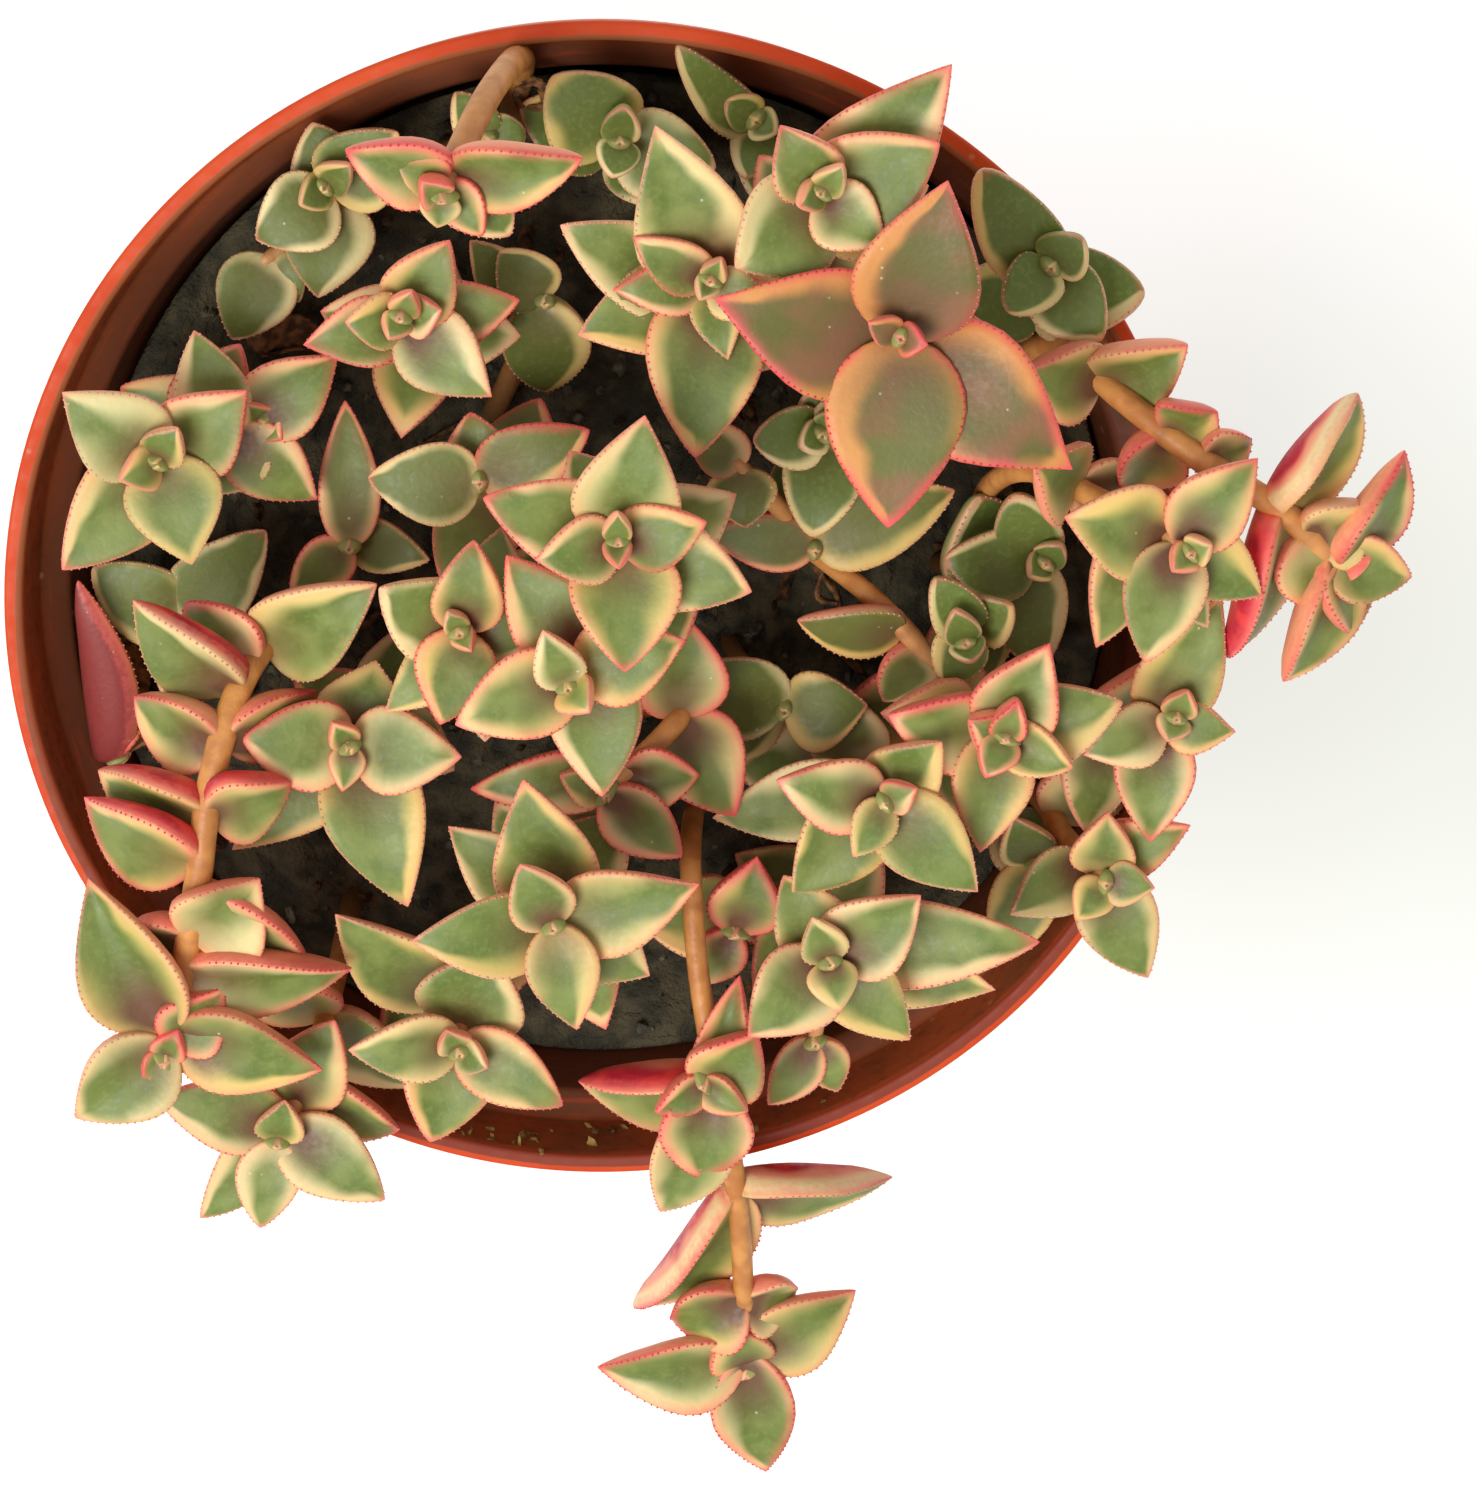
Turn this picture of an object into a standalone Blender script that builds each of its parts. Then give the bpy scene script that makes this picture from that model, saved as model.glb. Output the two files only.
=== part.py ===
"""A potted trailing crassula: an orange nursery pot, its soil, and the leafy stems that stand in it.

Metres, +Z up. The origin is the centre of the pot's flat base, which rests on z = 0. Heights in the
shoot table are in millimetres above the pot's rim, and places there are read from a picture of the
plant taken from nearly straight above, by the named view below.
"""
import math
from collections import namedtuple

import bpy
import bmesh
import numpy as np
from mathutils.bvhtree import BVHTree

MM = 0.001
CLEARANCE = 0.3 * MM

# Pot
RIM_RADIUS = 55.0 * MM
RIM_HEIGHT = 80.0 * MM
LIP_WIDTH = 1.8 * MM
BAND_DEPTH = 8.6 * MM
BAND_DRAFT = 1.4 * MM
BAND_STEP = 4.4 * MM
COLLAR_DEPTH = 7.0 * MM
COLLAR_STEP = 1.2 * MM
COLLAR_DRAFT = 1.0 * MM
LIP_EDGE = 0.5 * MM
WALL = 1.2 * MM
FLOOR_THICKNESS = 1.6 * MM
BASE_RADIUS = 36.5 * MM
DRAIN_COUNT = 6
DRAIN_RADIUS = 3.2 * MM
DRAIN_CIRCLE = 24.0 * MM
DRAIN_SIDES = 10
POT_SIDES = 48

# Soil
SOIL_BELOW_RIM = 14.5 * MM
SOIL_SIDES = 36
HOLE_DEPTH = 7.0 * MM
HOLE_ROOM = 0.54 * MM
HOLE_SIDES = 5

# Stems and leaves
BRANCH_SHARE = 0.93
STEM_SIDES = 5
STEM_STEP = 10.0 * MM
CURVE_SAMPLES = 24
STRAIGHT_ABOVE_SOIL = 1.5 * MM
DIRECTION_SPAN = 2.0 * MM
LEAF_THICKNESS = 1.3 * MM
FULL_THICKNESS_LENGTH = 9.0 * MM
LEAF_STATIONS = (0.28, 0.64)
SMALL_LEAF_STATIONS = (0.4,)
SMALL_LEAF = 5.5 * MM
ROOT_SUNK = 0.4 * MM
LEAF_WIDEST = 0.76
LEAF_ROUNDNESS = 0.74
LEAF_BASE_WIDTH = 0.36
LEAF_BOW = 0.05
LEAF_DISH = 0.12
EDGE_RISE = 0.16
LEANS_FROM = 5.0
LEAN = 0.5

# How the hidden stems are spread apart
STEM_GAP = 0.7 * MM
SPREAD_MARGIN = 2.0 * MM
SPREAD_ROUNDS = 80
SPREAD_SHARE = 0.25

# How a leaf may be turned (degrees) or shortened to miss the others, and what a change costs
LEAF_ROOM = 0.18 * MM
RISES = (0, 5, -5, 10, -10, 16, -16, 24, -24, 32, -32)
SWINGS = (0, 7, -7, 14, -14, 22, -22, 32, -32)
SCALES = (1.0, 0.92, 0.84, 0.74, 0.62)
RISE_COST = 0.55
SHORTENING_COST = 70.0

# The older leaves down each stem
LOWER_LEAF_SEED = 7
LOWER_LEAF_SPACING = 8.0
LOWER_LEAF_REACH = (8.5, 11.0)
LOWER_LEAF_BREADTH = 0.8
LOWER_LEAF_LIFT = 0.25
LOWER_LEAF_WOBBLE = 0.25
LOWER_LEAF_FLOOR = 2.5 * MM

# The view that the table's places are read in: 1477 by 1497 picture units, 600 mm from the rim's plane
VIEW_MIDDLE = (738.5, 748.5)
VIEW_TILT = math.radians(16.70)
VIEW_TURN = math.radians(-4.20)
VIEW_AIM = (12.52 * MM, -13.16 * MM)
VIEW_DISTANCE = 600.0 * MM
VIEW_UNITS_PER_METRE = 10797.0

POT_COLOUR = (0.76, 0.11, 0.025)
POT_ROUGHNESS = 0.4
SOIL_COLOUR = (0.018, 0.016, 0.014)
SOIL_ROUGHNESS = 0.9
LEAF_ROUGHNESS = 0.5
TONES = {
    "sage": (0.28, 0.36, 0.16),
    "green": (0.18, 0.27, 0.10),
    "dark": (0.12, 0.18, 0.07),
    "pink": (0.62, 0.30, 0.20),
    "old": (0.38, 0.20, 0.12),
    "red": (0.35, 0.04, 0.05),
}

# A leafy stem: its node's name, where it is rooted in the soil (mm, from the pot's axis), its radius (mm), its
# tone, how many pairs of older leaves grow below the ones listed, and its shoots.
# A shoot: where it leaves the stem before it (None for the first one), the points its stem goes through,
# its tip, all as (across, down, mm above rim) in the view, the way the tip faces, and its leaves.
# A leaf: mm of stem between it and the tip, where its point lies in the view (across, down), how many mm
# higher than the tip that point is, its width in mm, and the degrees that it is rolled about its own length.
Stem = namedtuple("Stem", "name root radius tone lower_pairs shoots")
Shoot = namedtuple("Shoot", "forks_at through tip faces leaves")
Leaf = namedtuple("Leaf", "below across down lift width roll", defaults=(0.0,))
UP = (0.0, 0.0, 1.0)

STEMS = (
    Stem("leafy_stem_crown", (6, 1), 1.05, "sage", 3, (
        Shoot(None, (), (618, 540, 32), UP, (
            (0, 618, 512, 3, 2.6), (0, 619, 569, 3, 2.6),
            (1.5, 535, 560, 1, 6.2), (1.5, 707, 522, 1, 6.2),
            (3, 645, 415, 1, 9.4), (3, 625, 672, 0, 9.6),
            (5.5, 483, 498, -2, 8.4), (5.5, 752, 592, -2, 8.4))),
        Shoot(22, ((600, 640, 22),), (568, 685, 26), UP, (
            (0, 543, 630, 3, 4.6), (0, 590, 713, 3, 4.2),
            (1.5, 455, 725, 1, 8.0), (1.5, 685, 640, 0, 8.0),
            (3.5, 602, 797, -1, 8.4), (3.5, 506, 555, -3, 8.0))),
    )),
    Stem("leafy_stem_crown_west", (-8, -5), 1.05, "sage", 3, (
        Shoot(None, (), (460, 630, 20), UP, (
            (0, 448, 612, 2, 2.4), (0, 472, 652, 2, 2.4),
            (1.5, 474, 540, 1, 6.4), (1.5, 440, 725, 0, 7.4),
            (3.5, 379, 588, 1, 8.2), (3.5, 540, 640, -3, 6.0),
            (6, 385, 712, -4, 6.0))),
    )),
    Stem("leafy_stem_north_tall", (10, 22), 1.05, "sage", 3, (
        Shoot(None, (), (710, 278, 24), UP, (
            (0, 722, 258, 2, 2.4), (0, 700, 300, 2, 2.4),
            (1.2, 633, 237, 1, 4.8), (1.2, 770, 310, 0, 4.8),
            (2.4, 612, 290, 0, 5.2), (2.4, 728, 360, 0, 4.6),
            (4, 655, 125, 1, 10.2), (4, 695, 458, -1, 10.2),
            (7, 560, 225, -3, 8.4), (7, 578, 335, -3, 8.4))),
    )),
    Stem("leafy_stem_north_east", (20, 26), 1.05, "sage", 3, (
        Shoot(None, (), (820, 190, 28), UP, (
            (0, 843, 165, 3, 3.0), (0, 799, 206, 3, 3.0),
            (1.5, 780, 125, 1, 6.4), (1.5, 885, 245, 0, 6.4),
            (3.2, 940, 143, 1, 9.4), (3.2, 735, 268, 0, 9.4),
            (8, 952, 64, -2, 10.2))),
    )),
    Stem("leafy_stem_old_rosette", (30, 17), 1.05, "old", 3, (
        Shoot(None, (), (900, 335, 30), UP, (
            (0, 868, 322, 2, 3.0), (0, 928, 345, 2, 3.2),
            (2.2, 948, 180, 2, 11.0), (2.2, 888, 528, -1, 12.0),
            (4.2, 713, 298, 0, 11.6), (4.2, 1073, 470, -1, 12.0))),
    )),
    Stem("leafy_stem_inner_north", (22, 10), 1.05, "green", 1, (
        Shoot(None, (), (822, 432, 6), UP, (
            (0, 848, 412, 2, 3.4), (0, 800, 447, 2, 3.4),
            (1.5, 753, 440, 0, 6.0), (1.5, 868, 396, -1, 5.0),
            (3.5, 812, 537, -1, 7.2), (3.5, 838, 366, -2, 6.0))),
    )),
    Stem("leafy_stem_north_west", (-22, 34), 1.05, "dark", 0, (
        Shoot(None, (), (325, 185, -2), UP, (
            (0, 350, 165, 3, 3.6), (0, 300, 205, 3, 3.6),
            (2, 398, 132, 1, 8.0), (2, 256, 240, -1, 7.6),
            (4, 318, 298, -2, 8.4), (4, 312, 122, -3, 7.0))),
        Shoot(7, (), (262, 262, -5), UP, (
            (1, 232, 340, 0, 7.4), (1, 300, 302, 0, 4.4))),
    )),
    Stem("leafy_stem_west", (-33, 14), 1.05, "sage", 2, (
        Shoot(None, ((190, 440, 4),), (157, 460, 12), UP, (
            (0, 178, 428, 3, 4.2), (0, 118, 480, 3, 4.2),
            (1.5, 62, 392, 1, 8.6), (1.5, 192, 565, 0, 8.8),
            (3.5, 247, 390, 0, 8.4), (3.5, 62, 570, -1, 8.8))),
        Shoot(6, (), (263, 420, 4), UP, (
            (0, 282, 440, 2, 3.2), (0, 246, 402, 2, 3.2),
            (1.5, 338, 355, 1, 7.4), (1.5, 217, 494, -1, 6.6),
            (3.5, 194, 330, 0, 6.8), (3.5, 318, 500, -1, 7.0))),
    )),
    Stem("leafy_stem_arching", (-8, 44), 1.25, "pink", 0, (
        Shoot(None, ((520, 56, -2), (480, 110, 14)), (442, 192, 22), (0.0, -0.35, 1.0), (
            (0, 437, 228, 0, 3.6), (0, 420, 180, 2, 3.4),
            (1.5, 483, 236, -1, 4.2), (1.5, 392, 158, 0, 5.0),
            (2.5, 583, 158, 2, 6.8), (2.5, 345, 150, 0, 6.6),
            (4, 510, 236, -4, 6.6))),
    )),
    Stem("leafy_stem_inner_west", (-16, 22), 1.05, "sage", 2, (
        Shoot(None, (), (400, 315, 12), UP, (
            (0, 412, 290, 2, 3.0), (0, 388, 340, 2, 3.0),
            (1.5, 345, 322, 1, 5.2), (1.5, 442, 310, 1, 4.4),
            (3, 450, 240, 0, 6.8), (3, 492, 397, -1, 7.6),
            (6, 520, 300, -4, 6.6), (6, 303, 345, -4, 6.4))),
    )),
    Stem("leafy_stem_inner_brown", (-10, 16), 1.05, "dark", 0, (
        Shoot(None, (), (545, 300, -2), UP, (
            (0, 545, 392, -5, 8.0), (0, 500, 250, 1, 6.0),
            (3, 470, 240, -1, 6.0))),
    )),
    Stem("leafy_stem_north", (1, 41), 1.05, "green", 1, (
        Shoot(None, (), (620, 140, 0), UP, (
            (0, 624, 107, 3, 3.6), (0, 612, 178, 2, 4.0),
            (2, 552, 76, 0, 9.2), (2, 716, 168, -1, 8.2))),
    )),
    Stem("leafy_stem_north_small", (-14, 41), 0.8, "green", 0, (
        Shoot(None, (), (487, 138, -4), UP, (
            (0, 455, 92, 1, 4.4), (0, 526, 132, 0, 4.4))),
    )),
    Stem("leafy_stem_north_low", (15, 40), 0.9, "green", 0, (
        Shoot(None, (), (755, 118, -4), UP, (
            (0, 727, 100, 2, 3.8), (0, 777, 134, 1, 3.4),
            (3, 677, 46, 4, 4.8), (3, 745, 178, 0, 4.4),
            (5, 768, 214, -1, 4.6))),
    )),
    Stem("leafy_stem_east_rim", (38, 22), 1.05, "green", 1, (
        Shoot(None, (), (1050, 265, 9), UP, (
            (0, 1083, 238, 2, 5.2), (0, 1007, 312, 2, 5.4),
            (2.5, 980, 170, 1, 7.2), (2.5, 1100, 340, 1, 7.0))),
    )),
    Stem("leafy_stem_east_trailing", (35, 17), 1.2, "pink", 0, (
        Shoot(None, ((1040, 332, 0), (1095, 375, 7), (1160, 430, 12), (1225, 475, 13), (1283, 512, 13)),
              (1350, 572, 11), (0.65, -0.25, 0.65), (
            (0, 1372, 552, 2, 3.4), (0, 1352, 600, 1, 3.4),
            (1.5, 1405, 450, 2, 7.0), (1.5, 1283, 682, -1, 7.0, 8),
            (3, 1412, 577, 0, 6.4), (3, 1350, 634, -2, 6.4),
            (6, 1370, 504, 2, 8.2), (6, 1316, 606, -1, 8.4),
            (9.5, 1358, 393, 2, 9.0, 32), (9.5, 1227, 658, -2, 9.0, -36),
            (18, 1252, 440, 0, 5.4),
            (22, 1218, 412, 2, 8.6), (22, 1122, 488, -3, 6.6),
            (30.5, 1188, 345, 2, 7.6), (30.5, 1020, 372, 1, 8.0))),
    )),
    Stem("leafy_stem_east", (35, 5), 1.05, "sage", 1, (
        Shoot(None, ((1010, 468, 2), (1110, 505, 12)), (1190, 550, 20), UP, (
            (0, 1172, 572, 2, 3.2), (0, 1212, 545, 2, 3.2),
            (1.5, 1258, 458, 1, 7.2), (1.5, 1145, 663, 0, 7.4),
            (3.2, 1064, 517, 1, 8.8), (3.2, 1262, 596, -3, 7.0),
            (7, 1096, 648, -5, 6.4), (7, 1208, 628, -7, 5.6))),
    )),
    Stem("leafy_stem_east_low", (32, 1), 1.05, "green", 1, (
        Shoot(None, (), (1045, 560, 0), UP, (
            (0, 1062, 545, 2, 3.2), (0, 1030, 577, 2, 3.2),
            (1.5, 945, 558, 1, 7.0), (1.5, 1012, 482, 0, 6.4),
            (3.5, 1040, 668, -1, 7.6))),
        Shoot(8, (), (965, 640, 8), UP, (
            (0, 955, 610, 3, 3.4), (0, 972, 662, 2, 3.4),
            (1.5, 935, 578, 1, 5.0), (1.5, 945, 684, -1, 5.2),
            (3, 1013, 606, 0, 5.6))),
    )),
    Stem("leafy_stem_south_east", (30, -12), 1.05, "pink", 3, (
        Shoot(None, (), (1005, 735, 18), UP, (
            (0, 985, 778, 2, 4.0), (0, 1018, 700, 3, 3.4),
            (1.2, 1073, 768, 1, 5.0), (1.2, 968, 720, 2, 4.6),
            (2.5, 1050, 643, 1, 8.0), (2.5, 980, 853, -1, 7.4),
            (4, 888, 715, 0, 7.8), (4, 1123, 702, -2, 8.0))),
    )),
    Stem("leafy_stem_south_east_rim", (39, -8), 1.05, "sage", 1, (
        Shoot(None, ((1120, 740, 5),), (1175, 715, 10), UP, (
            (0, 1168, 742, 2, 3.4), (0, 1188, 690, 2, 3.4),
            (1.5, 1083, 755, 1, 6.0), (1.5, 1236, 732, 0, 5.2),
            (3.2, 1222, 592, 1, 7.8), (3.2, 1150, 842, -1, 7.4))),
    )),
    Stem("leafy_stem_south_east_low", (37, -20), 1.05, "sage", 1, (
        Shoot(None, ((1080, 850, 3),), (1105, 880, 7), UP, (
            (0, 1155, 888, 1, 4.4), (0, 1075, 920, 1, 4.2),
            (1.5, 1108, 812, 1, 6.0), (1.5, 1148, 978, -1, 7.4),
            (3.5, 1010, 915, 0, 6.4), (3.5, 1191, 825, 0, 6.2))),
    )),
    Stem("leafy_stem_south_inner", (22, -18), 1.05, "sage", 3, (
        Shoot(None, (), (885, 800, 20), UP, (
            (0, 918, 788, 2, 3.6), (0, 853, 857, 1, 4.2),
            (1.5, 776, 780, 1, 7.2), (1.5, 978, 892, 0, 7.8),
            (3.5, 942, 742, 0, 7.2), (3.5, 792, 895, -3, 8.0),
            (16, 712, 818, -16, 7.4))),
    )),
    Stem("leafy_stem_south", (20, -31), 1.05, "sage", 2, (
        Shoot(None, (), (830, 960, 20), UP, (
            (0, 812, 917, 2, 4.4), (0, 840, 1012, 2, 4.6),
            (1.5, 921, 895, 1, 8.2), (1.5, 748, 1037, 0, 8.4),
            (4, 784, 878, -3, 7.0), (4, 910, 1040, -3, 7.2),
            (10, 1040, 942, -5, 8.6), (13, 996, 990, -9, 8.6))),
        Shoot(10, (), (815, 1040, 6), UP, (
            (0, 838, 1092, -1, 4.6), (0, 768, 1105, -1, 4.8))),
    )),
    Stem("leafy_stem_front_trailing", (9, -22), 1.0, "pink", 0, (
        Shoot(None, ((690, 850, 4), (702, 1000, 8), (733, 1165, 7), (742, 1260, 3)), (745, 1365, -3),
              (0.05, -0.45, 0.9), (
            (0, 726, 1327, 4, 6.4, 8),
            (1.5, 597, 1367, 1, 8.2, 12), (1.5, 856, 1290, 1, 8.2, -12),
            (2, 766, 1472, -3, 8.0),
            (4.5, 776, 1315, -2, 6.4), (4.5, 696, 1330, -2, 5.4),
            (9.5, 672, 1320, 1, 8.0, 14), (9.5, 797, 1290, 1, 7.0, -10),
            (23, 893, 1177, 2, 8.4, 22), (23, 633, 1306, -2, 8.0, -30),
            (35, 578, 1081, 11, 8.8, -18))),
        Shoot(27, (), (703, 1078, 13), (0.0, -0.25, 1.0), (
            (0, 655, 1112, 1, 3.6), (0, 748, 1112, 1, 3.6),
            (1.5, 757, 1032, 1, 7.6), (1.5, 702, 1178, -2, 8.6),
            (3, 660, 1212, -5, 7.4), (5, 740, 975, -2, 5.6))),
    )),
    Stem("leafy_stem_front_tall", (-4, -28), 1.05, "sage", 3, (
        Shoot(None, (), (553, 925, 26), UP, (
            (0, 520, 864, 2, 6.0), (0, 577, 1030, 0, 6.6),
            (2, 411, 941, 1, 7.8), (2, 700, 884, 1, 8.2),
            (6, 523, 779, -3, 9.4), (6, 650, 976, -5, 8.4),
            (9, 606, 1030, -9, 7.6), (13, 448, 826, -13, 7.6))),
    )),
    Stem("leafy_stem_front_west", (-14, -36), 1.05, "sage", 1, (
        Shoot(None, ((460, 1010, 8),), (460, 1050, 13), UP, (
            (0, 447, 1030, 2, 3.4), (0, 488, 1068, 2, 3.4),
            (1.5, 348, 1050, 1, 6.4), (1.5, 563, 1106, 0, 6.8),
            (3.5, 430, 1142, -2, 8.6), (3.5, 492, 948, -1, 10.2),
            (9, 335, 914, -3, 9.0, -20))),
    )),
    Stem("leafy_stem_south_west_rim", (-24, -32), 1.05, "sage", 1, (
        Shoot(None, ((320, 1040, 4), (290, 1110, 6)), (278, 1140, 9), UP, (
            (0, 285, 1100, 2, 4.6), (0, 260, 1228, -1, 6.0),
            (1.5, 157, 1098, 1, 7.4), (1.5, 385, 1200, 0, 7.6),
            (3.5, 335, 1020, 1, 7.6), (3.5, 200, 1218, -3, 6.4),
            (5.5, 400, 1130, -3, 6.6))),
    )),
    Stem("leafy_stem_west_trailing", (-26, -4), 1.25, "pink", 0, (
        Shoot(None, ((288, 618, 5), (238, 690, 13), (207, 800, 16), (198, 880, 16), (183, 970, 14)),
              (165, 1055, 13), (-0.1, -0.3, 1.0), (
            (0, 142, 1080, 1, 3.4), (0, 178, 1030, 2, 3.4),
            (1.5, 225, 987, 1, 6.6), (1.5, 75, 1118, 0, 8.8),
            (3, 88, 878, 2, 9.6), (3, 323, 1070, 0, 8.6),
            (9, 352, 968, -2, 7.6),
            (12.5, 260, 878, 3, 10.0), (12.5, 130, 925, -2, 6.0),
            (17, 310, 982, -3, 8.2), (20.5, 84, 797, 0, 10.2, -12),
            (25, 291, 782, 2, 8.8, 12), (25, 98, 770, -2, 8.4, -6),
            (31.5, 134, 697, -3, 7.8), (31.5, 318, 690, -4, 6.4),
            (37, 133, 600, 1, 8.4, -24), (39.5, 186, 602, -4, 8.4),
            (42, 377, 584, 3, 8.8))),
    )),
    Stem("leafy_stem_inner_south_west", (-20, -12), 1.05, "sage", 3, (
        Shoot(None, (), (350, 745, 14), UP, (
            (0, 332, 722, 2, 3.0), (0, 342, 792, 1, 3.4),
            (1.5, 243, 742, 1, 8.6), (1.5, 462, 757, 1, 8.2),
            (3.5, 408, 907, -1, 9.4), (3.5, 376, 660, -5, 8.4),
            (8, 232, 850, -7, 8.0))),
    )),
    Stem("leafy_stem_middle_north", (-7, 6), 1.05, "old", 1, (
        Shoot(None, (), (480, 480, 9), UP, (
            (0, 368, 478, 0, 7.6), (0, 590, 430, 1, 7.0),
            (2.5, 470, 412, -2, 6.6))),
    )),
    Stem("leafy_stem_middle_east", (18, 3), 1.05, "old", 0, (
        Shoot(None, (), (815, 548, 2), UP, (
            (0, 700, 532, 0, 5.4), (0, 955, 490, -1, 7.4))),
        Shoot(4, ((875, 600, 3),), (940, 668, 3), (0.3, -0.2, 1.0), (
            (5, 797, 620, 2, 7.0, -18), (3, 885, 702, -3, 6.0))),
        Shoot(4, ((770, 495, 4),), (735, 460, 5), (-0.2, 0.2, 1.0), (
            (1, 745, 528, 0, 6.4), (1, 690, 420, 0, 5.0))),
    )),
    Stem("leafy_stem_middle", (12, -7), 0.9, "dark", 0, (
        Shoot(None, (), (784, 708, -3), UP, (
            (0, 679, 668, 2, 8.0), (0, 868, 705, 1, 7.8),
            (3, 716, 764, -2, 6.4, -30))),
    )),
    Stem("leafy_stem_middle_south", (0, -14), 1.05, "pink", 1, (
        Shoot(None, ((690, 700, 2),), (606, 792, 8), UP, (
            (0, 682, 857, 0, 6.2), (0, 560, 775, 2, 4.0),
            (2.5, 470, 789, -1, 6.0), (2.5, 700, 775, -1, 6.0))),
    )),
    Stem("leafy_stem_south_low", (12, -30), 0.9, "pink", 1, (
        Shoot(None, (), (735, 930, 3), UP, (
            (0, 757, 856, 2, 7.0), (0, 700, 985, -1, 5.0))),
    )),
    Stem("leafy_stem_west_low", (-39, -12), 0.9, "red", 0, (
        Shoot(None, (), (113, 756, -8), (1.0, 0.2, 0.5), (
            (0, 78, 580, 7, 6.4, 54), (1, 150, 700, 1, 4.4))),
    )),
    Stem("leafy_stem_west_inner", (-37, 0), 0.9, "dark", 0, (
        Shoot(None, (), (182, 622, -6), UP, (
            (0, 92, 568, 1, 7.6), (0, 266, 530, 2, 7.8),
            (2.5, 240, 640, 0, 6.0), (2.5, 168, 705, 0, 5.4))),
    )),
    Stem("leafy_stem_brown", (-24, 8), 1.05, "old", 0, (
        Shoot(None, (), (350, 545, -1), UP, (
            (0, 345, 400, 0, 5.6), (0, 290, 590, 0, 5.0),
            (2.5, 430, 560, 0, 5.0))),
    )),
    Stem("leafy_stem_east_inner", (35, -22), 0.9, "dark", 1, (
        Shoot(None, (), (1035, 860, 0), UP, (
            (0, 1040, 800, 2, 5.4), (0, 1000, 960, -1, 6.4))),
    )),
)


def view_axes():
    """Right, up and toward-the-eye directions of the view."""
    toward = np.array([math.sin(VIEW_TURN) * math.sin(VIEW_TILT),
                       math.cos(VIEW_TURN) * math.sin(VIEW_TILT),
                       math.cos(VIEW_TILT)])
    up = np.array([0.0, 1.0, 0.0]) - toward[1] * toward
    up /= np.linalg.norm(up)
    return np.cross(up, toward), up, toward


def spot(across, down, height):
    """The point, in metres, that the view shows at (across, down), height mm above the rim."""
    right, up, toward = view_axes()
    aim = np.array([VIEW_AIM[0], VIEW_AIM[1], RIM_HEIGHT])
    eye = aim + toward * VIEW_DISTANCE
    scale = 1.0 / (VIEW_UNITS_PER_METRE * VIEW_DISTANCE)
    ray = (-toward + right * (across - VIEW_MIDDLE[0]) * scale
           - up * (down - VIEW_MIDDLE[1]) * scale)
    reach = (RIM_HEIGHT + height * MM - eye[2]) / ray[2]
    return eye + ray * reach


def smooth_route(points, step):
    """A Catmull-Rom curve through the points, cut into equal steps."""
    pts = [2 * points[0] - points[1]] + list(points) + [2 * points[-1] - points[-2]]
    fine = []
    for before, start, end, after in zip(pts, pts[1:], pts[2:], pts[3:]):
        for t in np.linspace(0.0, 1.0, CURVE_SAMPLES, endpoint=False):
            fine.append(0.5 * (2 * start + (end - before) * t
                               + (2 * before - 5 * start + 4 * end - after) * t ** 2
                               + (3 * start - before - 3 * end + after) * t ** 3))
    fine.append(points[-1])
    fine = np.array(fine)
    lengths = np.concatenate([[0.0], np.cumsum(np.linalg.norm(np.diff(fine, axis=0), axis=1))])
    count = max(3, int(math.ceil(lengths[-1] / step)) + 1)
    wanted = np.linspace(0.0, lengths[-1], count)
    return np.stack([np.interp(wanted, lengths, fine[:, axis]) for axis in range(3)], axis=1)


def point_below_tip(route, distance):
    """The point on a stem this far back from its tip, and the stem's direction there."""
    back = route[::-1]
    lengths = np.concatenate([[0.0], np.cumsum(np.linalg.norm(np.diff(back, axis=0), axis=1))])
    distance = min(distance, lengths[-1])
    here = np.array([np.interp(distance, lengths, back[:, axis]) for axis in range(3)])
    span = min(distance + DIRECTION_SPAN, lengths[-1])
    lower = np.array([np.interp(span, lengths, back[:, axis]) for axis in range(3)])
    run = here - lower
    size = np.linalg.norm(run)
    return here, (run / size if size > 0 else np.array(UP))


def unit(vector):
    return vector / max(np.linalg.norm(vector), 1e-12)


def ring_frame(direction):
    """Two directions across a stem that runs along this one."""
    helper = np.array([0.0, 1.0, 0.0]) if abs(direction[1]) < 0.9 else np.array([1.0, 0.0, 0.0])
    first = unit(np.cross(helper, direction))
    return first, np.cross(direction, first)


def tube(route, radius, sides):
    """Points and triangles of a closed tube along the route."""
    count = len(route)
    along = np.gradient(route, axis=0)
    angles = np.arange(sides) * 2.0 * math.pi / sides
    points = []
    for place, direction in zip(route, along):
        first, second = ring_frame(unit(direction))
        points.append(place + radius * (np.outer(np.cos(angles), first) + np.outer(np.sin(angles), second)))
    points = np.concatenate(points)
    faces = []
    for ring in range(count - 1):
        for side in range(sides):
            low, low_next = ring * sides + side, ring * sides + (side + 1) % sides
            high, high_next = low + sides, low_next + sides
            faces += [(low, low_next, high_next), (low, high_next, high)]
    for side in range(1, sides - 1):
        faces.append((0, side + 1, side))
        top = (count - 1) * sides
        faces.append((top, top + side, top + side + 1))
    return points, faces


def half_width(station):
    """A leaf's half width at this share of its length: broad near the base, pointed at the end."""
    swell = math.sin(math.pi * station ** LEAF_WIDEST) ** LEAF_ROUNDNESS if 0.0 < station < 1.0 else 0.0
    return swell + LEAF_BASE_WIDTH * (1.0 - station) ** 4


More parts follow.
